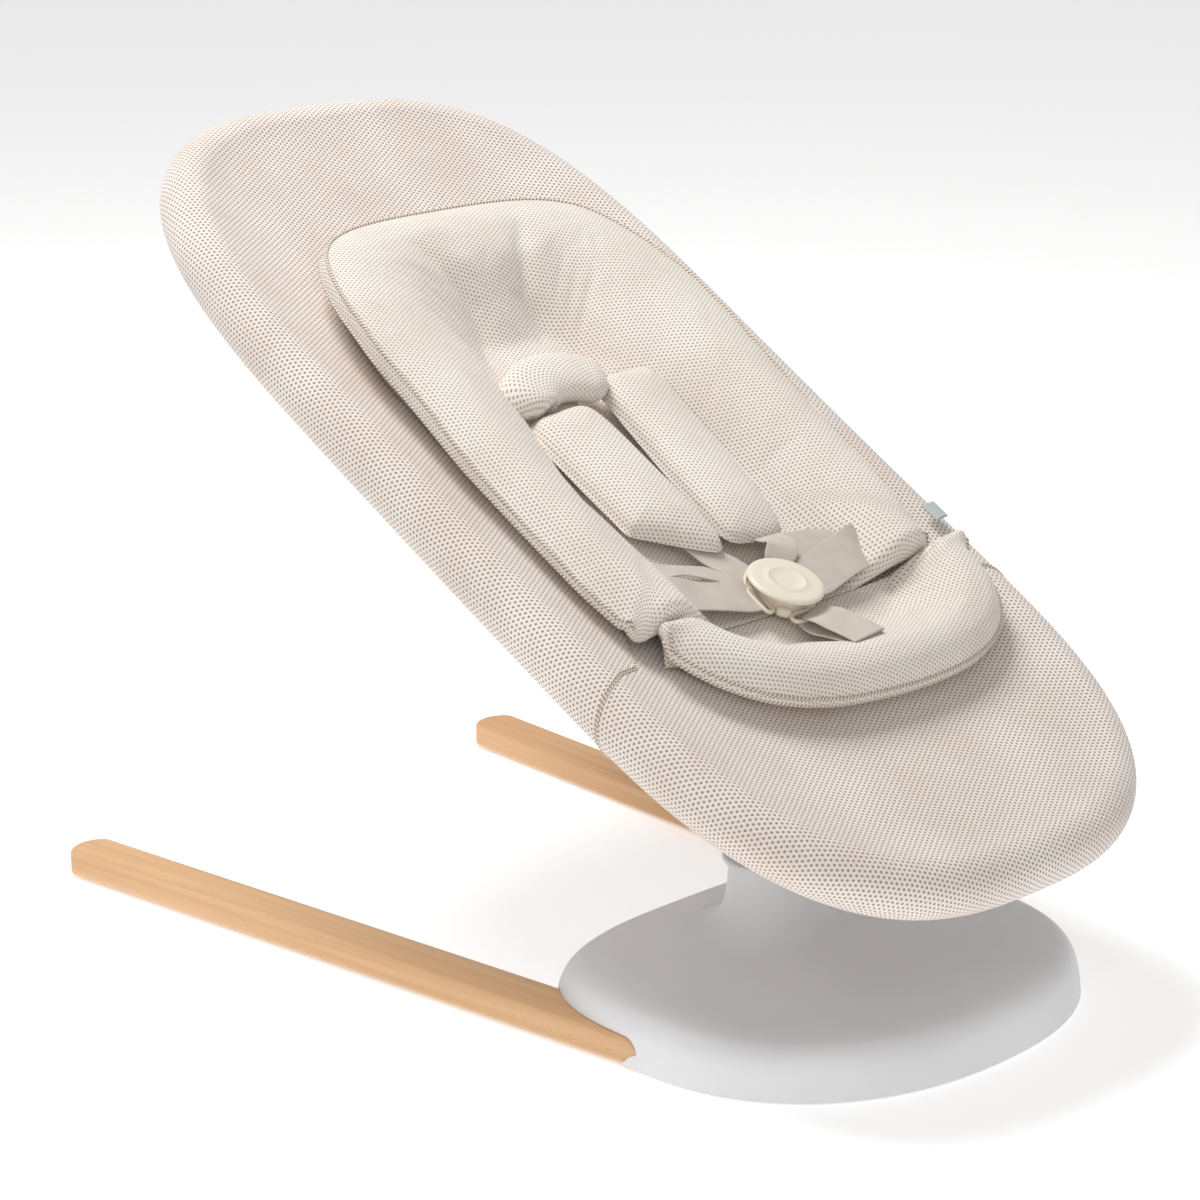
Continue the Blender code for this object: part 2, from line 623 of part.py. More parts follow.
def build_yoke():
    """The fork on top of the post, with the recline axle, its clip and the lever's pin."""
    plug = POST_RADIUS - POST_WALL - GAP
    shoulder = NECK_RADIUS - BASE_WALL - 2.5 * MM
    profile = [(0, YOKE_TOP), (shoulder, YOKE_TOP), (shoulder, POST_TOP + GAP), (plug, POST_TOP + GAP),
               (plug, YOKE_FOOT), (0, YOKE_FOOT)]
    yoke = place(turned("hub_yoke", profile, 32), "hub_yoke", ALUMINIUM)
    inner = DRUM_HALF_WIDTH + MM
    outer = inner + CHEEK_THICKNESS
    for sign in (-1, 1):
        low, high = sorted((sign * inner, sign * outer))
        cheek = box(f"cheek_{'left' if sign < 0 else 'right'}", (low, -CHEEK_HALF_DEPTH, YOKE_TOP - 5 * MM),
                    (high, CHEEK_HALF_DEPTH, PIVOT_HEIGHT + CHEEK_TOP))
        boolean(yoke, hide(cheek), "UNION")
    axle_hole = cylinder("axle_hole", AXLE_RADIUS + RUNNING_GAP, (-outer - 5 * MM, 0, PIVOT_HEIGHT),
                         (outer + 5 * MM, 0, PIVOT_HEIGHT))
    boolean(yoke, hide(axle_hole))
    pin_height = lever_level() + LEVER_THICKNESS / 2
    pin_hole = cylinder("lever_pin_hole", LEVER_PIN_RADIUS + RUNNING_GAP,
                        (-outer - 5 * MM, LEVER_PIN_OFFSET, pin_height),
                        (outer + 5 * MM, LEVER_PIN_OFFSET, pin_height), 16)
    boolean(yoke, hide(pin_hole))
    pocket = cylinder("spring_pocket", SPRING_RADIUS + 2.5 * MM, (0, 0, SPRING_FOOT),
                      (0, 0, YOKE_TOP + 5 * MM))
    boolean(yoke, hide(pocket))
    guide = cylinder("plunger_guide", PLUNGER_RADIUS + RUNNING_GAP, (0, 0, YOKE_FOOT - 5 * MM),
                     (0, 0, SPRING_FOOT + 5 * MM))
    boolean(yoke, hide(guide))

    head, head_radius, tail = outer + GAP + AXLE_HEAD, AXLE_RADIUS + 2 * MM, outer + 3.5 * MM
    profile = [(0, head), (head_radius, head), (head_radius, outer + GAP), (AXLE_RADIUS, outer + GAP),
               (AXLE_RADIUS, -tail), (0, -tail)]
    crosswise = (0, math.pi / 2, 0)
    place(turned("recline_axle", profile), "recline_axle", STEEL, None, (0, 0, PIVOT_HEIGHT), crosswise)
    clip_outer, clip_inner = AXLE_RADIUS + 3 * MM, AXLE_RADIUS + GAP
    clip = turned("axle_clip", [(clip_inner, CLIP_THICKNESS), (clip_outer, CLIP_THICKNESS), (clip_outer, 0),
                                (clip_inner, 0)], closed=True)
    place(clip, "axle_clip", STEEL, None, (-outer - GAP - CLIP_THICKNESS, 0, PIVOT_HEIGHT), crosswise)

    pin = cylinder("lever_pin", LEVER_PIN_RADIUS, (-outer + MM, 0, 0), (outer - MM, 0, 0), 16)
    place(pin, "lever_pin", STEEL, None, (0, LEVER_PIN_OFFSET, pin_height))


def lever_level():
    """Underside of the release lever, just above the collar."""
    return NECK_TOP + GAP + COLLAR_THICKNESS + 1.2 * MM


def build_lock():
    """The release lever, the plunger that it draws down and the spring that lifts it."""
    pin_height = lever_level() + LEVER_THICKNESS / 2
    lever = box("release_lever", (-LEVER_WIDTH / 2, -LEVER_TAIL - LEVER_PIN_OFFSET, -LEVER_THICKNESS / 2),
                (LEVER_WIDTH / 2, LEVER_REACH - LEVER_PIN_OFFSET, LEVER_THICKNESS / 2))
    place(lever, "release_lever", GREY_PLASTIC, None, (0, LEVER_PIN_OFFSET, pin_height))
    boss = cylinder("lever_boss", LEVER_PIN_RADIUS + 1.6 * MM, (-LEVER_WIDTH / 2, 0, 0),
                    (LEVER_WIDTH / 2, 0, 0), 16)
    hide(boss)
    boss.location = lever.location
    boolean(lever, boss, "UNION")
    hole = cylinder("lever_hole", LEVER_PIN_RADIUS + RUNNING_GAP, (-LEVER_WIDTH, 0, 0),
                    (LEVER_WIDTH, 0, 0), 16)
    hide(hole)
    hole.location = lever.location
    boolean(lever, hole)
    slot_side = PLUNGER_RADIUS + LEVER_SLOT_SIDE_GAP
    slot = box("lever_slot", (-slot_side, -LEVER_SLOT_HALF_LENGTH, pin_height - 20 * MM),
               (slot_side, LEVER_SLOT_HALF_LENGTH, pin_height + 20 * MM))
    boolean(lever, hide(slot))

    flange_top = lever_level() - GAP
    tip = PIVOT_HEIGHT - DRUM_RADIUS - 2 * GAP
    flange_low = flange_top - PLUNGER_FLANGE_THICKNESS
    profile = [(0, tip), (MM, tip), (PLUNGER_RADIUS, tip - 3 * MM), (PLUNGER_RADIUS, flange_top),
               (PLUNGER_FLANGE_RADIUS, flange_top), (PLUNGER_FLANGE_RADIUS, flange_low),
               (PLUNGER_RADIUS, flange_low), (PLUNGER_RADIUS, PLUNGER_FOOT), (0, PLUNGER_FOOT)]
    place(turned("lock_plunger", profile), "lock_plunger", STEEL)

    low = SPRING_FOOT + GAP + SPRING_WIRE_RADIUS
    high = flange_low - GAP - SPRING_WIRE_RADIUS
    spring = coil("lock_spring", SPRING_RADIUS, low, high, SPRING_TURNS, SPRING_WIRE_RADIUS)
    place(spring, "lock_spring", STEEL)


def coil(name, radius, low, high, turns, wire):
    """A coil spring about Z, as a wire along a helix."""
    steps = COIL_STEPS * turns
    angle = 2 * math.pi / COIL_STEPS
    points = [(radius * math.cos(angle * i), radius * math.sin(angle * i), low + (high - low) * i / steps)
              for i in range(steps + 1)]
    return tube(name, points, wire, resolution=0)


def bar_height():
    """Height of the spring bars' axis above the recline axis, square to the seat."""
    return PIVOT_BELOW_SEAT - CROSS_TUBE_DEPTH - CROSS_TUBE_RADIUS - GAP - BAR_RADIUS


def build_carrier(seat_axis):
    """The casting that turns on the axle, the clamp over the spring bars and the hub covers."""
    seat_top = bar_height()
    drum = cylinder("seat_carrier", DRUM_RADIUS, (-DRUM_HALF_WIDTH, 0, 0), (DRUM_HALF_WIDTH, 0, 0), 40)
    place(drum, "seat_carrier", ALUMINIUM, seat_axis)
    web_half = DRUM_HALF_WIDTH - CARRIER_WEB_INSET
    web = box("carrier_web", (-web_half, -CARRIER_WEB_HALF_DEPTH, 5 * MM),
              (web_half, CARRIER_WEB_HALF_DEPTH, seat_top))
    boolean(drum, hide(web, drum), "UNION")
    half_width = BAR_SPACING / 2 + BAR_RADIUS + 6 * MM
    split = seat_top - GAP / 2
    pad = box("carrier_pad", (-half_width, -CLAMP_HALF_LENGTH, seat_top - BAR_RADIUS - CLAMP_THICKNESS),
              (half_width, CLAMP_HALF_LENGTH, split))
    boolean(drum, hide(pad, drum), "UNION")
    clamp = box("bar_clamp", (-half_width, -CLAMP_HALF_LENGTH, split + GAP),
                (half_width, CLAMP_HALF_LENGTH, seat_top + BAR_RADIUS + CLAMP_THICKNESS))
    place(clamp, "bar_clamp", ALUMINIUM, seat_axis)
    for sign in (-1, 1):
        x = sign * BAR_SPACING / 2
        groove = cylinder(f"bar_groove_{sign}", BAR_RADIUS + BAR_SLACK, (x, -5 * CLAMP_HALF_LENGTH, seat_top),
                          (x, 5 * CLAMP_HALF_LENGTH, seat_top))
        hide(groove, drum)
        boolean(drum, groove)
        boolean(clamp, groove)
        spot = sign * CLAMP_SCREW_OFFSET
        top = seat_top + BAR_RADIUS + CLAMP_THICKNESS
        hole = cylinder(f"clamp_hole_{sign}", SCREW_RADIUS + GAP / 2, (spot, 0, top - SCREW_LENGTH - 2 * MM),
                        (spot, 0, top + 5 * MM), 12)
        hide(hole, drum)
        boolean(drum, hole)
        boolean(clamp, hole)
        head = top + GAP
        screw = plain_screw(head, top - SCREW_LENGTH - MM)
        place(screw, f"clamp_screw_{'left' if sign < 0 else 'right'}", STEEL, seat_axis, (spot, 0, 0))
    bore = cylinder("carrier_bore", AXLE_RADIUS + RUNNING_GAP, (-30 * MM, 0, 0), (30 * MM, 0, 0))
    boolean(drum, hide(bore, drum))
    for index in range(DETENT_COUNT):
        angle = SEAT_TILT - index * DETENT_STEP
        notch = box(f"detent_{index}", (-DRUM_HALF_WIDTH - MM, -DETENT_WIDTH / 2, -DRUM_RADIUS - 5 * MM),
                    (DRUM_HALF_WIDTH + MM, DETENT_WIDTH / 2, -DRUM_RADIUS + DETENT_DEPTH))
        hide(notch, drum)
        notch.rotation_euler = (-angle, 0, 0)
        boolean(drum, notch)

    build_hub_covers(seat_axis)


def hub_shape(name, radius, half_width, top, seat_axis):
    """The hub covers' outline: a drum about the recline axis and a block up to the seat."""
    shape = cylinder(name, radius, (-half_width, 0, 0), (half_width, 0, 0), 40)
    shape.parent = seat_axis
    inset = 0.6 * MM
    block = box(f"{name}_block", (-half_width + inset, -radius + 2 * MM, 0),
                (half_width - inset, radius - 2 * MM, top))
    hide(block)
    block.parent = seat_axis
    boolean(shape, block, "UNION")
    return shape


def build_hub_covers(seat_axis):
    """Two shells, split down the middle, that close the hub."""
    for side, sign in (("left", -1), ("right", 1)):
        shell = hub_shape(f"hub_cover_{side}", HUB_COVER_RADIUS, HUB_COVER_HALF_WIDTH, HUB_COVER_TOP,
                          seat_axis)
        place(shell, f"hub_cover_{side}", LIGHT_GREY_PLASTIC, seat_axis)
        hollow = hub_shape(f"hub_hollow_{side}", HUB_COVER_RADIUS - HUB_COVER_WALL,
                           HUB_COVER_HALF_WIDTH - HUB_COVER_WALL, HUB_COVER_TOP + 5 * MM, seat_axis)
        hide(hollow, shell)
        boolean(shell, hollow)
        far = 60 * MM
        low, high = sorted((-sign * far, sign * GAP / 2))
        other_half = box(f"other_half_{side}", (low, -far, -far), (high, far, 2 * far))
        boolean(shell, hide(other_half, shell))
        throat = box(f"throat_{side}", (-far, -CHEEK_HALF_DEPTH - 2 * MM, NECK_TOP),
                     (far, CHEEK_HALF_DEPTH + 14 * MM, PIVOT_HEIGHT - 22 * MM))
        boolean(shell, hide(throat))
        spot = (0, COVER_SCREW_ACROSS, COVER_SCREW_UP)
        hole = cylinder(f"cover_hole_{side}", SCREW_RADIUS + GAP / 2, (-far, *spot[1:]), (far, *spot[1:]), 12)
        hide(hole, shell)
        boolean(shell, hole)
    edge = HUB_COVER_HALF_WIDTH + GAP
    place(plain_screw(edge, -edge - MM), "hub_cover_screw", STEEL, seat_axis, spot, (0, math.pi / 2, 0))


# ---------------------------------------------------------------- seat frame

def build_frame(seat_axis):
    """The oval tube, its foam, the cross tubes, the spring bars and the blocks between them."""
    outline, inward = frame_outline()
    centre_line = rim_ring(outline, inward, 0, 0)
    place(tube("seat_frame", centre_line, FRAME_TUBE_RADIUS, cyclic=True), "seat_frame", STEEL, seat_axis)

    outer = RIM_RADIUS - COVER_THICKNESS - FOAM_GAP
    inner = FRAME_TUBE_RADIUS + FOAM_GAP
    start, end = SLOT_TO - 2 * math.pi, SLOT_FROM
    arc = np.linspace(start, end, 6)
    section = [(outer * math.cos(a), outer * math.sin(a)) for a in arc]
    section += [(inner * math.cos(a), inner * math.sin(a)) for a in arc[::-1]]
    rings = [rim_ring(outline, inward, inset, height) for inset, height in section]
    foam = ring_surface("frame_foam", [*rings, rings[0]])
    weld = foam.modifiers.new("weld", "WELD")
    weld.merge_threshold = 0.00005
    place(foam, "frame_foam", FOAM, seat_axis)

    entry = (SLOT_FROM + SLOT_TO) / 2
    direction = np.array([math.cos(entry), math.sin(entry)])
    for name, along in (("front", CROSS_FRONT), ("rear", CROSS_REAR)):
        half_width = float(frame_half_width(np.array(along)))
        start = direction * (FRAME_TUBE_RADIUS + CROSS_END_GAP)
        bend = direction * 34 * MM
        half = [(half_width - start[0], frame_sag(along) + start[1]),
                (half_width - bend[0] * 0.6, frame_sag(along) + bend[1] * 0.6),
                (half_width - bend[0] - 14 * MM, -CROSS_TUBE_DEPTH + 2 * MM),
                (BAR_SPACING / 2 + 40 * MM, -CROSS_TUBE_DEPTH), (BAR_SPACING / 2, -CROSS_TUBE_DEPTH)]
        route = [*half, (0, -CROSS_TUBE_DEPTH), *[(-x, n) for x, n in half[::-1]]]
        line = [seat_point(x, along, n) for x, n in smooth_line(route, 4)]
        place(tube(f"cross_tube_{name}", line, CROSS_TUBE_RADIUS), f"cross_tube_{name}", STEEL, seat_axis)

    bar_level = bar_height() - PIVOT_BELOW_SEAT
    ends = (CROSS_FRONT - BAR_OVERHANG, CROSS_REAR + BAR_OVERHANG)
    for side, sign in (("left", -1), ("right", 1)):
        x = sign * BAR_SPACING / 2
        line = [seat_point(x, u, bar_level) for u in np.linspace(*ends, 9)]
        place(tube(f"spring_bar_{side}", line, BAR_RADIUS), f"spring_bar_{side}", STEEL, seat_axis)

    for name, along in (("front", CROSS_FRONT), ("rear", CROSS_REAR)):
        half_width = BAR_SPACING / 2 + BAR_RADIUS + BLOCK_WALL
        block_low = bar_level - BAR_RADIUS - BLOCK_WALL
        block_top = CROSS_TUBE_RADIUS + BLOCK_WALL - CROSS_TUBE_DEPTH
        block = box(f"bar_block_{name}", seat_point(-half_width, along - BLOCK_LENGTH / 2, block_low),
                    seat_point(half_width, along + BLOCK_LENGTH / 2, block_top))
        place(block, f"bar_block_{name}", GREY_PLASTIC, seat_axis)
        bevel(block, 1.5 * MM, 1)
        hole = cylinder(f"cross_hole_{name}", CROSS_TUBE_RADIUS + GAP,
                        seat_point(-90 * MM, along, -CROSS_TUBE_DEPTH), seat_point(90 * MM, along, -CROSS_TUBE_DEPTH))
        boolean(block, hide(hole, block))
        for sign in (-1, 1):
            x = sign * BAR_SPACING / 2
            hole = cylinder(f"bar_hole_{name}_{sign}", BAR_RADIUS + GAP,
                            seat_point(x, along - 60 * MM, bar_level), seat_point(x, along + 60 * MM, bar_level), 16)
            boolean(block, hide(hole, block))


# ---------------------------------------------------------------- soft pieces

def build_cover(seat_axis):
    """The seat cover: a sling that rolls over the padded rim and ends in a hem under it."""
    outline, inward = frame_outline()
    rings = deck_rings(outline, inward, (0.35, 0.65, 0.87, 1.0))
    for angle in (*np.radians((55, 90, 120, 150, 180, 210, 240)), SLOT_FROM):
        rings.append(rim_ring(outline, inward, RIM_RADIUS * math.cos(angle), RIM_RADIUS * math.sin(angle)))
    middle = seat_point(0, SEAT_LENGTH / 2, frame_sag(SEAT_LENGTH / 2))
    cover = ring_surface("seat_cover", rings, first_centre=middle)
    step = cover.modifiers.new("fabric", "SOLIDIFY")
    step.thickness = COVER_THICKNESS
    step.offset = -1
    place(cover, "seat_cover", MESH_FABRIC, seat_axis)


def insert_half_width(u):
    """Half the insert's width at a distance along the seat."""
    share = (u - INSERT_FOOT) / (INSERT_HEAD - INSERT_FOOT)
    width = np.interp(share, [0, 0.09, 0.19, 0.38, 0.62, 0.82, 1.0],
                      [142 * MM, 144 * MM, 146 * MM, 164 * MM, 165 * MM, 145 * MM, 122 * MM])
    foot = np.clip(1 - share / 0.13, 0, 1)
    head = np.clip(1 - (1 - share) / 0.11, 0, 1)
    return width * (1 - foot**2.3) ** (1 / 2.3) * (1 - head**2.6) ** (1 / 2.6)


def build_insert(seat_axis):
    """The newborn insert: a thin quilted middle inside a thick border."""
    u = INSERT_FOOT + (INSERT_HEAD - INSERT_FOOT) * (1 - np.cos(np.linspace(0, math.pi, 401))) / 2
    outline = even_outline(insert_half_width(u), u, 44)
    middle = np.array([0, (INSERT_FOOT + INSERT_HEAD) / 2])
    reach_out = np.array([insert_half_width(middle[1]), (INSERT_HEAD - INSERT_FOOT) / 2])
    frame, inward = frame_outline(240)
    deck_middle = np.array([0, SEAT_LENGTH / 2])
    edge = frame + inward * DECK_EDGE_INSET - deck_middle
    order = np.argsort(np.arctan2(edge[:, 1], edge[:, 0]))
    edge_turn = np.arctan2(edge[:, 1], edge[:, 0])[order]
    edge_reach = np.linalg.norm(edge, axis=1)[order]

    def level(inset, rise):
        """A ring at a distance inside the insert's edge, at a height above the sling under it."""
        spots = middle + (outline - middle) * (1 - inset / reach_out)
        arms = spots - deck_middle
        reach = np.interp(np.arctan2(arms[:, 1], arms[:, 0]), edge_turn, edge_reach, period=2 * math.pi)
        deck = deck_height(np.linalg.norm(arms, axis=1) / reach)
        sag = frame_sag(SEAT_LENGTH / 2) * 0.6
        return [seat_point(x, v, h + rise + sag) for (x, v), h in zip(spots, deck)]

    border = INSERT_BORDER_HEIGHT
    top = [(75 * MM, INSERT_MIDDLE_HEIGHT), (54 * MM, 0.42 * border), (34 * MM, 0.84 * border),
           (16 * MM, 0.88 * border), (4 * MM, 0.66 * border), (0, 0.42 * border)]
    low = INSERT_CLEARANCE
    bottom = [(0, low + 6 * MM), (12 * MM, low + 2.5 * MM), (40 * MM, low + MM), (90 * MM, low + MM)]
    rings = [level(inset, rise) for inset, rise in [*top, *bottom]]
    base = frame_sag(SEAT_LENGTH / 2) * 0.6
    insert = ring_surface("infant_insert", rings,
                          first_centre=seat_point(*middle, INSERT_MIDDLE_HEIGHT + base),
                          last_centre=seat_point(*middle, low + base))
    place(insert, "infant_insert", SOFT_FABRIC, seat_axis)


def strip(name, route, width, thickness, across=(1, 0, 0)):
    """A flat strap along a route in seat coordinates, its width along a direction across it."""
    line = [seat_point(*point) for point in smooth_line(route, 4)]
    across = Vector(across).normalized() * (width / 2)
    vertices = [tuple(p + side * across) for p in line for side in (-1, 1)]
    faces = [(2 * i, 2 * i + 1, 2 * i + 3, 2 * i + 2) for i in range(len(line) - 1)]
    mesh = bpy.data.meshes.new(name)
    mesh.from_pydata(vertices, [], faces)
    mesh.shade_smooth()
    piece = bpy.data.objects.new(name, mesh)
    step = piece.modifiers.new("webbing", "SOLIDIFY")
    step.thickness = thickness
    step.offset = 0
    return piece


def build_harness(seat_axis):
    """The pads, straps and tongues of the harness."""
    strap = STRAP_HEIGHT
    pad_low = strap + WEBBING_THICKNESS + 0.7 * MM
    tongue_inner = BUCKLE_BODY_RADIUS + MM
    tongue_reach = tongue_inner + 10 * MM
    tongue_level = BUCKLE_HEIGHT + BUCKLE_BODY_THICKNESS / 2
    for side, sign in (("left", -1), ("right", 1)):
        x = sign * PAD_SPACING / 2
        pad = box(f"shoulder_pad_{side}", seat_point(x - PAD_WIDTH / 2, PAD_FOOT + 22 * MM, pad_low),
                  seat_point(x + PAD_WIDTH / 2, PAD_HEAD, pad_low + PAD_THICKNESS))
        place(pad, f"shoulder_pad_{side}", SOFT_FABRIC, seat_axis)
        bevel(pad, 8 * MM, 3)
        route = [(x, PAD_HEAD + 26 * MM, strap), (x, PAD_FOOT + 31 * MM, strap)]
        shoulder = strip("strap", route, WEBBING_WIDTH, WEBBING_THICKNESS)
        place(shoulder, f"shoulder_strap_{side}", WEBBING, seat_axis)
        slot = box(f"strap_slot_{side}", seat_point(x - 17 * MM, PAD_HEAD + 27 * MM, strap - MM),
                   seat_point(x + 17 * MM, PAD_HEAD + 33 * MM, strap + 2.5 * MM))
        place(slot, f"strap_slot_{side}", IVORY_PLASTIC, seat_axis)
        route = [(sign * 84 * MM, BUCKLE_ALONG_SEAT + 12 * MM, 24 * MM),
                 (sign * 68 * MM, BUCKLE_ALONG_SEAT + 8 * MM, 17 * MM),
                 (sign * (tongue_reach + MM), BUCKLE_ALONG_SEAT + 2 * MM, tongue_level)]
        waist = strip("strap", route, WEBBING_WIDTH, WEBBING_THICKNESS, (0, 1, 0))
        place(waist, f"waist_strap_{side}", WEBBING, seat_axis)
    foot = BUCKLE_ALONG_SEAT - tongue_reach - MM
    route = [(0, foot, tongue_level), (0, foot - 10 * MM, 21 * MM), (0, foot - 22 * MM, 33 * MM)]
    place(strip("strap", route, WEBBING_WIDTH, WEBBING_THICKNESS), "crotch_strap", WEBBING, seat_axis)

    tongues = (("shoulder_tongue_left", 125), ("shoulder_tongue_right", 55), ("waist_tongue_left", 180),
               ("waist_tongue_right", 0), ("crotch_tongue", 270))
    for name, degrees in tongues:
        tongue = box(name, (tongue_inner, -9 * MM, -1.2 * MM), (tongue_reach, 9 * MM, 1.2 * MM))
        place(tongue, name, IVORY_PLASTIC, seat_axis, seat_point(0, BUCKLE_ALONG_SEAT, tongue_level),
              (0, 0, math.radians(degrees)))
        bevel(tongue, 0.8 * MM, 1)

    arc = np.linspace(math.radians(205), math.radians(-25), 13)
    outer = [(60 * MM * math.cos(a), 40 * MM * math.sin(a)) for a in arc]
    inner = [(24 * MM * math.cos(a), 8 * MM * math.sin(a)) for a in arc[::-1]]
    neck = outline_solid("neck_pad", [*outer, *inner], pad_low + MM, pad_low + PAD_THICKNESS)
    place(neck, "neck_pad", SOFT_FABRIC, seat_axis, seat_point(-8 * MM, PAD_HEAD + 45 * MM, 0))
    bevel(neck, 5 * MM, 2)


def build_buckle(seat_axis):
    """The buckle body, its spring and its round release button."""
    place_at = seat_point(0, BUCKLE_ALONG_SEAT, BUCKLE_HEIGHT)
    well, stem = 10 * MM, 5 * MM
    floor = 1.5 * MM
    top = BUCKLE_BODY_THICKNESS
    rim, corner = BUCKLE_BODY_RADIUS, MM
    profile = [(0, floor), (well, floor), (well, top), (rim - corner, top), (rim, top - corner),
               (rim, corner), (rim - corner, 0), (0, 0)]
    body = turned("buckle_body", profile, 32)
    place(body, "buckle_body", IVORY_PLASTIC, seat_axis, place_at)

    button_low = top + BUTTON_TRAVEL + GAP
    button_top = button_low + BUTTON_THICKNESS
    stem_low = floor + BUTTON_TRAVEL + 2 * GAP
    button = turned("buckle_button", [(0, button_top), (BUTTON_RADIUS - 2.5 * MM, button_top - 0.4 * MM),
                                      (BUTTON_RADIUS, button_top - 2 * MM), (BUTTON_RADIUS, button_low + MM),
                                      (BUTTON_RADIUS - MM, button_low), (stem, button_low), (stem, stem_low),
                                      (0, stem_low)], 40)
    place(button, "buckle_button", IVORY_PLASTIC, seat_axis, place_at)
    low, high = floor + GAP + SPRING_WIRE_RADIUS, button_low - GAP - SPRING_WIRE_RADIUS
    spring = coil("buckle_spring", (well + stem) / 2, low, high, 4, SPRING_WIRE_RADIUS)
    place(spring, "buckle_spring", STEEL, seat_axis, place_at)


def build_label(seat_axis):
    """The small folded fabric tag at the right-hand rim."""
    x = float(frame_half_width(np.array(300 * MM))) - 6 * MM
    label = box("side_label", seat_point(x - 5 * MM, 290 * MM, RIM_RADIUS + frame_sag(300 * MM) + MM),
                seat_point(x + 5 * MM, 306 * MM, RIM_RADIUS + frame_sag(300 * MM) + 2.2 * MM))
    place(label, "side_label", TAG_FABRIC, seat_axis)


# ---------------------------------------------------------------- the model

clear_scene()
PARTS = collection("bouncer_seat")
CUTTERS = collection("cutters")
SCREW_CENTRES = []

WHITE_PLASTIC = finish("white_plastic", (0.84, 0.84, 0.85), 0.45)
LIGHT_GREY_PLASTIC = finish("light_grey_plastic", (0.68, 0.69, 0.70), 0.5)
GREY_PLASTIC = finish("grey_plastic", (0.35, 0.36, 0.37), 0.5)
IVORY_PLASTIC = finish("ivory_plastic", (0.83, 0.79, 0.68), 0.4)
BEECH = finish("beech", (0.74, 0.52, 0.31), 0.5)
RUBBER = finish("rubber", (0.16, 0.17, 0.18), 0.8)
STEEL = finish("steel", (0.55, 0.56, 0.57), 0.35, 1.0)
ALUMINIUM = finish("aluminium", (0.72, 0.73, 0.74), 0.4, 1.0)
FOAM = finish("foam", (0.80, 0.79, 0.75), 0.95)
MESH_FABRIC = finish("mesh_fabric", (0.76, 0.70, 0.62), 0.9)
SOFT_FABRIC = finish("soft_fabric", (0.84, 0.79, 0.71), 0.9)
WEBBING = finish("webbing", (0.66, 0.62, 0.57), 0.6)
TAG_FABRIC = finish("tag_fabric", (0.55, 0.58, 0.54), 0.8)

SEAT_AXIS = empty("recline_axis", (0, 0, PIVOT_HEIGHT), SEAT_TILT)

build_base(build_legs())
build_post()
build_yoke()
build_lock()
build_carrier(SEAT_AXIS)
build_frame(SEAT_AXIS)
build_cover(SEAT_AXIS)
build_insert(SEAT_AXIS)
build_harness(SEAT_AXIS)
build_buckle(SEAT_AXIS)
build_label(SEAT_AXIS)
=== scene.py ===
"""Bouncer seat: the visual model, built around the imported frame.

Every shape is a surface worked out on a grid in seat coordinates (x across, u along the seat from the foot end
of its frame, n square to the seat plane) or in room coordinates, in metres.
"""
import json
import logging
import math
from dataclasses import dataclass
from enum import Enum
from typing import Callable

import bmesh
import bpy
import numpy as np
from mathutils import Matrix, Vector

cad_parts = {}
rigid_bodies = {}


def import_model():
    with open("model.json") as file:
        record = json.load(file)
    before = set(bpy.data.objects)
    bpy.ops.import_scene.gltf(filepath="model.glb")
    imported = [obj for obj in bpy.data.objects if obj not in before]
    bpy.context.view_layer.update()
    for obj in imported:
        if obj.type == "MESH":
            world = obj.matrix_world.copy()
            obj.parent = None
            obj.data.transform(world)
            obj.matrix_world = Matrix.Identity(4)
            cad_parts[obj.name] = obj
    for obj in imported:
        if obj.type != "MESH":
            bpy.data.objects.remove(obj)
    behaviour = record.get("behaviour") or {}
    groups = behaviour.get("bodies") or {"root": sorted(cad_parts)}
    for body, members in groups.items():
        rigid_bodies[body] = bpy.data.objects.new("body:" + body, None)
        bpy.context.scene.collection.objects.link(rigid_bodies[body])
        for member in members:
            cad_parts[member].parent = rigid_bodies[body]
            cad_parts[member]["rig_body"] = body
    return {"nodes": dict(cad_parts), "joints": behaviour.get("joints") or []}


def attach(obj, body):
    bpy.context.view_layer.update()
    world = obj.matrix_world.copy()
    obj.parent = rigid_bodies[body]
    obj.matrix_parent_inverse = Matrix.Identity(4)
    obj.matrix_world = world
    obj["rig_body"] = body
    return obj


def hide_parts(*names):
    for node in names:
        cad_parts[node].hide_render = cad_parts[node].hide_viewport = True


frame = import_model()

MM = 0.001
LOG = logging.getLogger("bouncer_seat")
Array = np.ndarray


# ---------------------------------------------------------------- curves and grids

def smooth_line(knots: list | Array, per_span: int = 8) -> Array:
    """Points on a Catmull-Rom curve through the knots.

    Args:
        knots: rows of coordinates, of any dimension.
        per_span: points from one knot to the next.

    Returns:
        The points, one row each. Each span is the cubic whose slope at a knot is half the step between the knots
        beside it.
    """
    k = np.asarray(knots, float)
    k = np.vstack([2 * k[0] - k[1], k, 2 * k[-1] - k[-2]])
    a, b, c, d = k[:-3, None], k[1:-2, None], k[2:-1, None], k[3:, None]
    t = (np.arange(per_span) / per_span)[None, :, None]
    spans = 0.5 * (2 * b + (c - a) * t + (2 * a - 5 * b + 4 * c - d) * t**2 + (3 * b - a - 3 * c + d) * t**3)
    return np.vstack([spans.reshape(-1, k.shape[1]), k[-2:-1]])


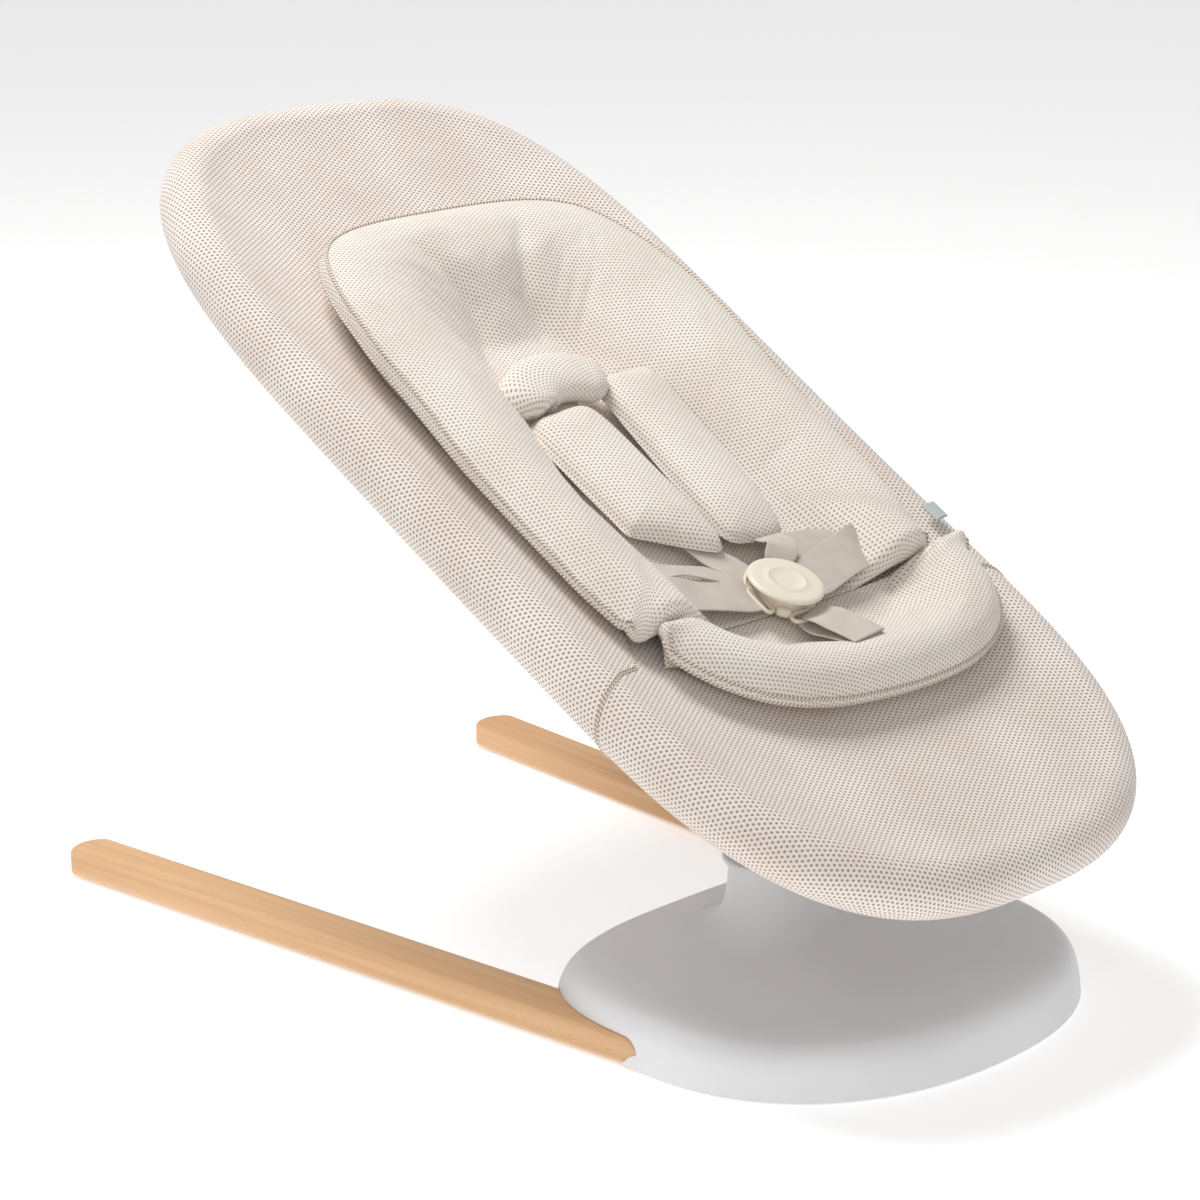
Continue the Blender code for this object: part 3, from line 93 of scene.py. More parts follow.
def soft_steps(x: Array, knots: list, values: list, width: float) -> Array:
    """Straight steps between knots, averaged over a width so that no corner is left.

    Args:
        x: where to read.
        knots: rising places.
        values: the value at each.
        width: length of the cosine window that the steps are averaged over.

    Returns:
        The value at each x.
    """
    fine = np.linspace(knots[0] - width, knots[-1] + width, 1201)
    raw = np.interp(fine, knots, values)
    half = max(1, int(width / (fine[1] - fine[0]) / 2))
    window = np.hanning(2 * half + 3)
    padded = np.pad(raw, half + 1, mode="edge")
    return np.interp(x, fine, np.convolve(padded, window / window.sum(), mode="valid"))


def runs(points: Array, closed: bool = False) -> Array:
    """Distance along a line of points, from its first.

    Args:
        points: positions, one row each.
        closed: adds the way back to the first point.

    Returns:
        A distance for each point, and one more where closed is set.
    """
    steps = np.linalg.norm(np.diff(points, axis=0), axis=1)
    run = np.concatenate([[0.0], np.cumsum(steps)])
    return np.append(run, run[-1] + np.linalg.norm(points[0] - points[-1])) if closed else run


def even_loop(points: Array, count: int) -> Array:
    """The same closed outline with evenly spaced points.

    Args:
        points: the outline, one row each.
        count: how many points to give back.

    Returns:
        The new points, one row each.
    """
    run = runs(points, closed=True)
    loop = np.vstack([points, points[:1]])
    stops = np.arange(count) * run[-1] / count
    return np.column_stack([np.interp(stops, run, loop[:, i]) for i in range(points.shape[1])])


def outward_of(outline: Array) -> Array:
    """Unit normals of a closed plan outline that runs anticlockwise, pointing outwards.

    Args:
        outline: (x, y) rows.

    Returns:
        A unit normal for each row.
    """
    along = np.roll(outline, -1, axis=0) - np.roll(outline, 1, axis=0)
    along /= np.linalg.norm(along, axis=1)[:, None]
    return np.column_stack([along[:, 1], -along[:, 0]])


def distance_to(points: Array, line: Array) -> Array:
    """Shortest plan distance from each point to a finely divided line.

    Args:
        points: any array of (x, u) spots.
        line: the line's corners.

    Returns:
        For each spot, the distance to the nearer of the two pieces of line beside its nearest corner.
    """
    flat = points.reshape(-1, 2)
    near = np.full(len(flat), np.inf)
    which = np.zeros(len(flat), int)
    for start in range(0, len(line), 60):
        reach = np.linalg.norm(flat[:, None] - line[None, start:start + 60], axis=2)
        best = reach.argmin(axis=1)
        value = reach[np.arange(len(flat)), best]
        which = np.where(value < near, best + start, which)
        near = np.minimum(near, value)
    for step in (-1, 1):
        other = line[np.clip(which + step, 0, len(line) - 1)]
        foot, way = line[which], other - line[which]
        share = ((flat - foot) * way).sum(1) / np.maximum((way**2).sum(1), 1e-12)
        beside = np.linalg.norm(flat - foot - way * np.clip(share, 0, 1)[:, None], axis=1)
        near = np.where(np.linalg.norm(way, axis=1) < 12 * MM, np.minimum(near, beside), near)
    return near.reshape(points.shape[:-1])


def soft_distance(points: Array, line: Array, most: float = 20 * MM) -> Array:
    """Plan distance with its creases rounded: the mean over a ring of nearby spots, wider further in.

    Args:
        points: spots in plan.
        line: the outline that they are measured to.
        most: the ring's widest radius.

    Returns:
        A distance for each spot.
    """
    first = distance_to(points, line)
    reach = np.minimum(first * 0.6, most)[..., None]
    turns = np.arange(10) * np.pi / 5
    ring = [distance_to(points + reach * [math.cos(t), math.sin(t)], line) for t in turns]
    return np.mean(ring, axis=0)


def grid_quads(rows: int, columns: int, wrap: bool) -> Array:
    """Corner numbers of the quads of a grid, whose last column joins the first where wrap is set.

    Args:
        rows: the grid's rows.
        columns: the grid's columns.
        wrap: joins the last column to the first.

    Returns:
        Four corner numbers for each quad.
    """
    i, j = np.meshgrid(np.arange(rows - 1), np.arange(columns if wrap else columns - 1), indexing="ij")
    k = (j + 1) % columns
    return np.stack([i * columns + j, i * columns + k, (i + 1) * columns + k, (i + 1) * columns + j],
                    -1).reshape(-1, 4)


def surface(name: str, grid: Array, uv: Array | None = None, wrap: bool = True,
            closed: bool = True) -> bpy.types.Object:
    """An object from a grid of points, with its poles and seams merged and its faces outwards.

    Args:
        name: the piece's name.
        grid: rows x columns x 3 points in room coordinates.
        uv: rows x columns x 2 flat coordinates in metres, kept in the layer "flat".
        wrap: joins the last column to the first. With uv, the first column is repeated so that the map has an end.
        closed: turns the faces by the sign of the volume that they hold.

    Returns:
        The object, in the scene.
    """
    if wrap and uv is not None and uv.shape[1] == grid.shape[1] + 1:
        grid, wrap = np.concatenate([grid, grid[:, :1]], axis=1), False
    rows, columns = grid.shape[:2]
    points = grid.reshape(-1, 3)
    quads = grid_quads(rows, columns, wrap)
    a, b, c, d = (points[quads[:, i]] - points.mean(axis=0) for i in range(4))
    volume = (np.einsum("ij,ij->i", a, np.cross(b, c)) + np.einsum("ij,ij->i", a, np.cross(c, d))).sum()
    if closed and volume < 0:
        quads = quads[:, ::-1]
    mesh = bpy.data.meshes.new(name)
    mesh.vertices.add(len(points))
    mesh.vertices.foreach_set("co", points.astype(np.float32).ravel())
    mesh.loops.add(quads.size)
    mesh.loops.foreach_set("vertex_index", quads.ravel().astype(np.int32))
    mesh.polygons.add(len(quads))
    mesh.polygons.foreach_set("loop_start", np.arange(0, quads.size, 4, dtype=np.int32))
    mesh.update(calc_edges=True)
    if uv is not None:
        layer = mesh.uv_layers.new(name="flat")
        layer.uv.foreach_set("vector", uv.reshape(-1, 2)[quads.ravel()].astype(np.float32).ravel())
    shape = bmesh.new()
    shape.from_mesh(mesh)
    bmesh.ops.remove_doubles(shape, verts=shape.verts, dist=2e-6)
    shape.to_mesh(mesh)
    shape.free()
    mesh.shade_smooth()
    piece = bpy.data.objects.new(name, mesh)
    bpy.context.scene.collection.objects.link(piece)
    return piece


def carried(path: Array, section: Array, side: Array, scale: Array | None = None,
            closed: bool = False) -> tuple[Array, Array]:
    """A section carried along a path.

    Args:
        path: points of the path in room coordinates.
        section: closed section as (across, up) rows.
        side: direction that the section's first axis leans towards, one row or one for each point.
        scale: how large the section is at each point, or None.
        closed: the path joins its own start.

    Returns:
        The grid of points and its flat coordinates (along, around). Each ring is the path's point plus across times
        the side direction, squared to the path, plus up times the direction square to both.
    """
    ends = np.vstack([path[-1], path, path[0]]) if closed else np.vstack([2 * path[0] - path[1], path,
                                                                          2 * path[-1] - path[-2]])
    along = ends[2:] - ends[:-2]
    along /= np.linalg.norm(along, axis=1)[:, None]
    side = np.broadcast_to(np.asarray(side, float), path.shape)
    side = side - (side * along).sum(axis=1)[:, None] * along
    side /= np.linalg.norm(side, axis=1)[:, None]
    up = np.cross(side, along)
    size = np.ones(len(path)) if scale is None else scale
    grid = (path[:, None] + size[:, None, None] * (section[None, :, :1] * side[:, None] + section[None, :, 1:] * up[:, None]))
    around = runs(section, closed=True)
    flat = np.stack(np.meshgrid(runs(path), around, indexing="ij"), -1)
    if closed:
        grid, flat = np.concatenate([grid, grid[:1]]), np.concatenate([flat,
                                                                       flat[-1:] + [[[flat[1, 0, 0], 0]]]])
    return grid, flat


def shut(grid: Array, flat: Array) -> tuple[Array, Array]:
    """Closes a carried section's two ends with a point each.

    Args:
        grid: the section's rings.
        flat: their flat coordinates.

    Returns:
        Both, with one more ring at each end.
    """
    first = np.broadcast_to(grid[:1].mean(axis=1, keepdims=True), grid[:1].shape)
    last = np.broadcast_to(grid[-1:].mean(axis=1, keepdims=True), grid[-1:].shape)
    return np.concatenate([first, grid, last]), np.concatenate([flat[:1], flat, flat[-1:]])


def oval_section(half_width: float, half_height: float, power: float = 2.0, count: int = 24) -> Array:
    """A superellipse |x/a|^p + |y/b|^p = 1, as (across, up) rows.

    Args:
        half_width: a.
        half_height: b.
        power: p; 2 is an ellipse.
        count: points around.

    Returns:
        The section, one row for each point.
    """
    turn = np.arange(count) * 2 * np.pi / count
    c, s = np.cos(turn), np.sin(turn)
    return np.column_stack([half_width * np.sign(c) * np.abs(c) ** (2 / power),
                            half_height * np.sign(s) * np.abs(s) ** (2 / power)])


def rod(name: str, path: Array, radius: float, sides: int = 16, closed: bool = False) -> bpy.types.Object:
    """A round bar, cord or wire along a path in room coordinates, with domed ends.

    Args:
        name: the piece's name.
        path: points of its centre line.
        radius: its radius.
        sides: points around it.
        closed: joins its last point to its first.

    Returns:
        The object.
    """
    side = np.array([0.21, 0.93, 0.31])
    grid, flat = carried(path, oval_section(radius, radius, 2, sides), side, closed=closed)
    if not closed:
        grid, flat = shut(grid, flat)
    return surface(name, grid, flat)


def lathe(name: str, profile: Array, centre: Array, axis: Array, steps: int = 96) -> bpy.types.Object:
    """A profile of (radius, height) rows turned about an axis through a centre.

    Args:
        name: the piece's name.
        profile: (radius, height) rows.
        centre: where height is nil.
        axis: the direction of height.
        steps: points around.

    Returns:
        The object.
    """
    axis = axis / np.linalg.norm(axis)
    first = np.cross(axis, [1.0, 0.0, 0.0] if abs(axis[0]) < 0.9 else [0.0, 1.0, 0.0])
    first /= np.linalg.norm(first)
    second = np.cross(axis, first)
    turn = np.arange(steps) * 2 * np.pi / steps
    ring = np.cos(turn)[None, :, None] * first + np.sin(turn)[None, :, None] * second
    return surface(name, centre + profile[:, None, :1] * ring + profile[:, None, 1:] * axis)


# ---------------------------------------------------------------- where the seat is

@dataclass(frozen=True)
class SeatSpace:
    """Seat coordinates, read from the frame's joints.

    Attributes:
        pivot: the recline axis, in room coordinates.
        tilt: the seat's slope at rest.
        pivot_along: the recline axis, along the seat from the frame's foot end.
        pivot_below: the recline axis, below the seat plane.
    """

    pivot: tuple[float, float, float]
    tilt: float
    pivot_along: float = 185 * MM
    pivot_below: float = 113 * MM

    @classmethod
    def from_frame(cls) -> "SeatSpace":
        """Reads the recline axis and the direction that the buckle is pressed in, square to the seat."""
        joints = {j["name"]: j for j in frame["joints"]}
        press = joints["buckle_press"]["axis"]
        return cls(tuple(joints["seat_recline"]["pos_m"]), math.atan2(press[1], -press[2]))

    def room(self, points: Array) -> Array:
        """Room coordinates of (x, u, n) points: a turn by the tilt about the recline axis.

        Args:
            points: (x, u, n) in the last column.

        Returns:
            The same points in the room.
        """
        points = np.asarray(points, float)
        a, b = points[..., 1] - self.pivot_along, points[..., 2] + self.pivot_below
        c, s = math.cos(self.tilt), math.sin(self.tilt)
        return np.stack([points[..., 0] + self.pivot[0], self.pivot[1] + a * c - b * s,
                         self.pivot[2] + a * s + b * c], -1)

    def direction(self, vector: Array) -> Array:
        """Room direction of an (x, u, n) direction."""
        return self.room(vector) - self.room(np.zeros(3))


@dataclass(frozen=True)
class SeatOval:
    """The seat frame's oval centre line and the sling inside it."""

    length: float = 810 * MM
    foot_half: float = 187 * MM
    head_half: float = 196 * MM
    foot_round: float = 243 * MM
    head_round: float = 313 * MM
    foot_power: float = 2.86
    head_power: float = 3.31
    sag_depth: float = 7 * MM
    deck_inset: float = 27 * MM
    deck_rise: float = 16.5 * MM

    def half_width(self, u: Array) -> Array:
        """Half width at u: a straight taper times a superellipse rounding at each end.

        Args:
            u: places along the seat.

        Returns:
            A half width for each place.
        """
        width = self.foot_half + (self.head_half - self.foot_half) * u / self.length
        foot = np.clip((self.foot_round - u) / self.foot_round, 0, 1)
        head = np.clip((self.head_round - (self.length - u)) / self.head_round, 0, 1)
        rounding = (1 - foot**self.foot_power) ** (1 / self.foot_power)
        return width * rounding * (1 - head**self.head_power) ** (1 / self.head_power)

    def sag(self, u: Array) -> Array:
        """How far the frame hangs below the line between its ends: a parabola."""
        return -self.sag_depth * (1 - (2 * u / self.length - 1) ** 2)

    def outline(self, count: int) -> Array:
        """The centre line as evenly spaced (x, u) points, anticlockwise from above.

        Args:
            count: how many points.

        Returns:
            The (x, u) rows.
        """
        u = self.length * (1 - np.cos(np.linspace(0, math.pi, 801))) / 2
        half = self.half_width(u)
        loop = np.column_stack([np.concatenate([half, -half[-2:0:-1]]), np.concatenate([u, u[-2:0:-1]])])
        return even_loop(loop, count)

    def deck(self, spots: Array) -> Array:
        """Height of the sling at (x, u) spots: its rise times a power of the share of the way to its edge.

        Args:
            spots: (x, u) in the last column.

        Returns:
            A height for each spot.
        """
        loop = self.outline(360)
        edge = loop - outward_of(loop) * self.deck_inset - [0, self.length / 2]
        turn = np.arctan2(edge[:, 1], edge[:, 0])
        order = np.argsort(turn)
        arms = spots - [0, self.length / 2]
        reach = np.interp(np.arctan2(arms[..., 1], arms[..., 0]), turn[order],
                          np.linalg.norm(edge, axis=1)[order], period=2 * math.pi)
        share = np.clip(np.linalg.norm(arms, axis=-1) / reach, 0, 1)
        return self.deck_rise * share**2.7 + self.sag(spots[..., 1]) * share - self.sag_depth * (1 - share)


SEAT = SeatSpace.from_frame()
OVAL = SeatOval()


class Side(Enum):
    """The two sides of the seat, as seen from its foot."""

    LEFT = -1
    RIGHT = 1

    @property
    def word(self) -> str:
        """The side's name in lower case."""
        return self.name.lower()


# ---------------------------------------------------------------- finishes

def linear(hex_colour: str) -> tuple[float, float, float, float]:
    """An sRGB hex colour in linear light."""
    parts = [int(hex_colour[i:i + 2], 16) / 255 for i in (1, 3, 5)]
    return (*[p / 12.92 if p <= 0.04045 else ((p + 0.055) / 1.055) ** 2.4 for p in parts], 1.0)


def node(tree: bpy.types.NodeTree, kind: str, inputs: dict | None = None,
         **settings: object) -> bpy.types.Node:
    """Adds a node.

    Args:
        tree: the material's node tree.
        kind: the node's type.
        inputs: values, or sockets to link, by the input's name or number.
        settings: attributes of the node.

    Returns:
        The node.
    """
    added = tree.nodes.new(kind)
    for key, value in settings.items():
        setattr(added, key, value)
    for key, value in (inputs or {}).items():
        if isinstance(value, bpy.types.NodeSocket):
            tree.links.new(value, added.inputs[key])
        else:
            added.inputs[key].default_value = value
    return added


def ramp(tree: bpy.types.NodeTree, fac: bpy.types.NodeSocket,
         stops: list[tuple[float, str]]) -> bpy.types.NodeSocket:
    """A colour ramp through (place, sRGB hex) stops."""
    added = node(tree, "ShaderNodeValToRGB", {"Fac": fac})
    band = added.color_ramp
    while len(band.elements) < len(stops):
        band.elements.new(0.5)
    for element, (place, colour) in zip(band.elements, stops):
        element.position = place
        element.color = linear(colour)
    return added.outputs["Color"]


@dataclass(frozen=True)
class Finish:
    """What a surface is made of: the base of every finish."""

    name: str
    slot: str

    def start(self) -> tuple[bpy.types.Material, bpy.types.NodeTree, bpy.types.Node]:
        """An empty material with its shader."""
        material = bpy.data.materials.new(self.name)
        material.use_nodes = True
        return material, material.node_tree, material.node_tree.nodes["Principled BSDF"]

    def material(self) -> bpy.types.Material:
        """The material, made once."""
        return bpy.data.materials.get(self.name) or self.build()

    def build(self) -> bpy.types.Material:
        """Makes the material."""
        raise NotImplementedError

    @staticmethod
    def bump(tree: bpy.types.NodeTree, shader: bpy.types.Node, height: bpy.types.NodeSocket,
             depth: float) -> None:
        """Feeds a height from 0 to 1 into the shader's normal, as a relief of that depth in metres."""
        relief = node(tree, "ShaderNodeBump", {"Height": height, "Strength": 1.0, "Distance": depth})
        tree.links.new(relief.outputs["Normal"], shader.inputs["Normal"])


@dataclass(frozen=True)
class SpacerMesh(Finish):
    """Knitted polyester spacer mesh: a soft net of round holes, coloured dark as painted shade in their depth.

    The holes lie on a hexagonal lattice whose closest rows run along the seat.
    """

    thread: str = "#f6ede6"
    shade: str = "#ecdfd6"
    # Painted shade: the colour of the holes stands for the shade inside them.
    hole_shade: str = "#9a8a80"
    pitch: float = 3.7 * MM
    hole_radius: float = 0.98 * MM

    def build(self) -> bpy.types.Material:
        """Distance to the nearer of two rectangular lattices, offset by half a cell, gives the holes."""
        material, tree, shader = self.start()
        flat = node(tree, "ShaderNodeUVMap", uv_map="flat").outputs["UV"]
        wobble = node(tree, "ShaderNodeTexNoise", {"Vector": flat, "Scale": 90.0, "Detail": 1.0})
        nudge = node(tree, "ShaderNodeVectorMath", {0: wobble.outputs["Color"], 1: (0.0008, 0.0008, 0.0)},
                     operation="MULTIPLY").outputs[0]
        spot = node(tree, "ShaderNodeVectorMath", {0: flat, 1: nudge}, operation="ADD").outputs[0]
        cell = (self.pitch * math.sqrt(3), self.pitch, 1.0)
        count = node(tree, "ShaderNodeVectorMath", {0: spot, 1: tuple(1 / c for c in cell)},
                     operation="MULTIPLY")
        reach = []
        for offset in (0.0, 0.5):
            moved = node(tree, "ShaderNodeVectorMath", {0: count.outputs[0], 1: (offset, offset, 0.0)},
                         operation="ADD")
            share = node(tree, "ShaderNodeVectorMath", {0: moved.outputs[0]}, operation="FRACTION")
            middle = node(tree, "ShaderNodeVectorMath", {0: share.outputs[0], 1: (0.5, 0.5, 0.0)},
                          operation="SUBTRACT")
            sized = node(tree, "ShaderNodeVectorMath", {0: middle.outputs[0], 1: (cell[0], cell[1], 0.0)},
                         operation="MULTIPLY")
            reach.append(node(tree, "ShaderNodeVectorMath", {0: sized.outputs[0]},
                              operation="LENGTH").outputs["Value"])
        near = node(tree, "ShaderNodeMath", {0: reach[0], 1: reach[1]}, operation="MINIMUM").outputs[0]
        net = node(tree, "ShaderNodeMapRange", {"Value": near, "From Min": self.hole_radius * 0.55,
                                                "From Max": self.hole_radius * 1.25}, interpolation_type="SMOOTHSTEP")
        crown = node(tree, "ShaderNodeMapRange", {"Value": near, "From Min": self.hole_radius * 0.7,
                                                  "From Max": self.pitch * 0.62}, interpolation_type="SMOOTHSTEP")
        place = node(tree, "ShaderNodeTexCoord").outputs["Object"]
        cloud = node(tree, "ShaderNodeTexNoise",
                     {"Vector": place, "Scale": 14.0, "Detail": 3.0}).outputs["Fac"]
        yarn = node(tree, "ShaderNodeTexNoise",
                    {"Vector": flat, "Scale": 1400.0, "Detail": 2.0}).outputs["Fac"]
        thread = ramp(tree, cloud, [(0.35, self.shade), (0.65, self.thread)])
        fibre = node(tree, "ShaderNodeMixRGB", {"Fac": 0.12, "Color1": thread, "Color2": yarn},
                     blend_type="SOFT_LIGHT")
        # Painted shade: the holes take a dark colour that stands for the shade inside them.
        colour = node(tree, "ShaderNodeMixRGB", {"Fac": net.outputs[0], "Color1": linear(self.hole_shade),
                                                 "Color2": fibre.outputs[0]})
        tree.links.new(colour.outputs[0], shader.inputs["Base Color"])
        shader.inputs["Roughness"].default_value = 0.92
        shader.inputs["Sheen Weight"].default_value = 0.25
        shader.inputs["Sheen Roughness"].default_value = 0.5
        shader.inputs["Specular IOR Level"].default_value = 0.25
        body = node(tree, "ShaderNodeMath", {0: net.outputs[0], 1: crown.outputs[0]}, operation="ADD")
        height = node(tree, "ShaderNodeMath", {0: body.outputs[0], 1: 0.5, 2: yarn}, operation="MULTIPLY_ADD")
        self.bump(tree, shader, height.outputs[0], 0.35 * MM)
        return material


@dataclass(frozen=True)
class SatinWebbing(Finish):
    """Woven polyester webbing: close ribs across a smooth, slightly shiny band with a firm edge."""

    light: str = "#ddd3c9"
    dark: str = "#c3b6aa"
    rib: float = 1.1 * MM

    def build(self) -> bpy.types.Material:
        """A rib's height is a sine along the band, broken by a finer sine across it."""
        material, tree, shader = self.start()
        flat = node(tree, "ShaderNodeUVMap", uv_map="flat").outputs["UV"]
        ribs = node(tree, "ShaderNodeTexWave", {"Vector": flat, "Scale": 0.314 / self.rib, "Distortion": 0.3},
                    bands_direction="X").outputs["Fac"]
        ends = node(tree, "ShaderNodeTexWave", {"Vector": flat, "Scale": 0.6 / self.rib, "Distortion": 0.4},
                    bands_direction="Y").outputs["Fac"]
        weave = node(tree, "ShaderNodeMath", {0: ribs, 1: ends}, operation="MULTIPLY").outputs[0]
        cloud = node(tree, "ShaderNodeTexNoise",
                     {"Vector": flat, "Scale": 60.0, "Detail": 3.0}).outputs["Fac"]
        mixed = node(tree, "ShaderNodeMath", {0: weave, 1: cloud}, operation="ADD").outputs[0]
        tree.links.new(ramp(tree, mixed, [(0.3, self.dark), (1.0, self.light)]), shader.inputs["Base Color"])
        shader.inputs["Roughness"].default_value = 0.5
        shader.inputs["Sheen Weight"].default_value = 0.2
        self.bump(tree, shader, weave, 0.12 * MM)
        return material


@dataclass(frozen=True)
class MouldedPlastic(Finish):
    """Injection-moulded ABS or acetal: even colour, a fine spark-eroded grain and soft reflections."""

    colour: str = "#f2f2f3"
    tint: str = "#ececee"
    roughness: float = 0.42
    grain: float = 0.5 * MM
    relief: float = 0.02 * MM

    def build(self) -> bpy.types.Material:
        """Fine noise gives the grain, and slow noise moves the colour and the gloss a little."""
        material, tree, shader = self.start()
        place = node(tree, "ShaderNodeTexCoord").outputs["Object"]
        grit = node(tree, "ShaderNodeTexNoise",
                    {"Vector": place, "Scale": 1 / self.grain, "Detail": 2.0}).outputs["Fac"]
        slow = node(tree, "ShaderNodeTexNoise", {"Vector": place, "Scale": 9.0, "Detail": 2.0}).outputs["Fac"]
        tree.links.new(ramp(tree, slow, [(0.3, self.tint), (0.7, self.colour)]), shader.inputs["Base Color"])
        gloss = node(tree, "ShaderNodeMapRange", {"Value": slow, "To Min": self.roughness - 0.04,
                                                  "To Max": self.roughness + 0.06})
        tree.links.new(gloss.outputs[0], shader.inputs["Roughness"])
        shader.inputs["IOR"].default_value = 1.49
        self.bump(tree, shader, grit, self.relief)
        return material


@dataclass(frozen=True)
class Beech(Finish):
    """Steamed beech, planed and lacquered: warm even grain with the short dark flecks of its rays."""

    light: str = "#e6bf94"
    dark: str = "#d5a676"
    fleck: str = "#b98758"
    turn: float = 0.0

    def build(self) -> bpy.types.Material:
        """Stretched noise along the leg gives the grain, and short stretched cells the flecks."""
        material, tree, shader = self.start()
        place = node(tree, "ShaderNodeTexCoord").outputs["Object"]
        laid = node(tree, "ShaderNodeMapping",
                    {"Vector": place, "Rotation": (0.0, 0.0, self.turn)}).outputs[0]
        long = node(tree, "ShaderNodeVectorMath", {0: laid, 1: (150.0, 4.0, 150.0)},
                    operation="MULTIPLY").outputs[0]
        grain = node(tree, "ShaderNodeTexNoise", {"Vector": long, "Scale": 1.0, "Detail": 5.0,
                                                  "Distortion": 0.6}).outputs["Fac"]
        wide = node(tree, "ShaderNodeVectorMath", {0: laid, 1: (26.0, 1.6, 26.0)},
                    operation="MULTIPLY").outputs[0]
        band = node(tree, "ShaderNodeTexNoise", {"Vector": wide, "Scale": 1.0, "Detail": 2.0}).outputs["Fac"]
        short = node(tree, "ShaderNodeVectorMath", {0: laid, 1: (900.0, 170.0, 900.0)},
                     operation="MULTIPLY").outputs[0]
        cells = node(tree, "ShaderNodeTexVoronoi", {"Vector": short, "Scale": 1.0}, distance="EUCLIDEAN")
        ray = node(tree, "ShaderNodeMapRange", {"Value": cells.outputs["Distance"], "From Min": 0.12,
                                                "From Max": 0.34, "To Min": 1.0, "To Max": 0.0})
        some = node(tree, "ShaderNodeMapRange", {"Value": band, "From Min": 0.42, "From Max": 0.62})
        flecks = node(tree, "ShaderNodeMath", {0: ray.outputs[0], 1: some.outputs[0]}, operation="MULTIPLY")
        both = node(tree, "ShaderNodeMath", {0: grain, 1: band}, operation="ADD")
        wood = ramp(tree, node(tree, "ShaderNodeMath", {0: both.outputs[0], 1: 0.5},
                               operation="MULTIPLY").outputs[0],
                    [(0.36, self.dark), (0.64, self.light)])
        part = node(tree, "ShaderNodeMath", {0: flecks.outputs[0], 1: 0.55}, operation="MULTIPLY").outputs[0]
        colour = node(tree, "ShaderNodeMixRGB", {"Fac": part, "Color1": wood, "Color2": linear(self.fleck)})
        tree.links.new(colour.outputs[0], shader.inputs["Base Color"])
        shader.inputs["Roughness"].default_value = 0.46
        self.bump(tree, shader, grain, 0.06 * MM)
        return material


@dataclass(frozen=True)
class Metal(Finish):
    """Steel or aluminium, zinc-plated, sprung, cast or painted: a metal with drawn lines or cast grit."""

    colour: str = "#c9cacc"
    dark: str = "#aeb0b3"
    metallic: float = 1.0
    roughness: float = 0.34
    lines: tuple[float, float, float] = (900.0, 60.0, 900.0)

    def build(self) -> bpy.types.Material:
        """Noise stretched along the drawn direction moves the colour, the gloss and the relief."""
        material, tree, shader = self.start()
        place = node(tree, "ShaderNodeTexCoord").outputs["Object"]
        drawn = node(tree, "ShaderNodeVectorMath", {0: place, 1: self.lines}, operation="MULTIPLY").outputs[0]
        fine = node(tree, "ShaderNodeTexNoise", {"Vector": drawn, "Scale": 1.0, "Detail": 3.0}).outputs["Fac"]
        tree.links.new(ramp(tree, fine, [(0.3, self.dark), (0.7, self.colour)]), shader.inputs["Base Color"])
        gloss = node(tree, "ShaderNodeMapRange", {"Value": fine, "To Min": self.roughness - 0.08,
                                                  "To Max": self.roughness + 0.1})
        tree.links.new(gloss.outputs[0], shader.inputs["Roughness"])
        shader.inputs["Metallic"].default_value = self.metallic
        self.bump(tree, shader, fine, 0.02 * MM)
        return material


@dataclass(frozen=True)
class SoftFill(Finish):
    """Moulded rubber, cut foam or a woven tag: a dull surface with fine pores or threads."""

    colour: str = "#3c3d3f"
    dark: str = "#2c2d2f"
    roughness: float = 0.85
    pore: float = 0.8 * MM
    relief: float = 0.08 * MM

    def build(self) -> bpy.types.Material:
        """Cells of one pore's size give the pores."""
        material, tree, shader = self.start()
        place = node(tree, "ShaderNodeTexCoord").outputs["Object"]
        cells = node(tree, "ShaderNodeTexVoronoi",
                     {"Vector": place, "Scale": 1 / self.pore}).outputs["Distance"]
        tree.links.new(ramp(tree, cells, [(0.1, self.dark), (0.6, self.colour)]), shader.inputs["Base Color"])
        shader.inputs["Roughness"].default_value = self.roughness
        self.bump(tree, shader, cells, self.relief)
        return material


@dataclass(frozen=True)
class Overlock(Finish):
    """A bound edge: slanting stitches of a light thread round a cord, with shadow between them."""

    light: str = "#efe5d8"
    dark: str = "#a39485"
    pitch: float = 2.6 * MM

    def build(self) -> bpy.types.Material:
        """Stripes slanted across the cord by adding its two flat coordinates."""
        material, tree, shader = self.start()
        flat = node(tree, "ShaderNodeUVMap", uv_map="flat").outputs["UV"]
        laid = node(tree, "ShaderNodeMapping",
                    {"Vector": flat, "Rotation": (0.0, 0.0, math.radians(32))}).outputs[0]
        stripes = node(tree, "ShaderNodeTexWave",
                       {"Vector": laid, "Scale": 0.314 / self.pitch, "Distortion": 0.4},
                       bands_direction="X").outputs["Fac"]
        tree.links.new(ramp(tree, stripes, [(0.25, self.dark), (0.6, self.light)]),
                       shader.inputs["Base Color"])
        shader.inputs["Roughness"].default_value = 0.85
        self.bump(tree, shader, stripes, 0.35 * MM)
        return material


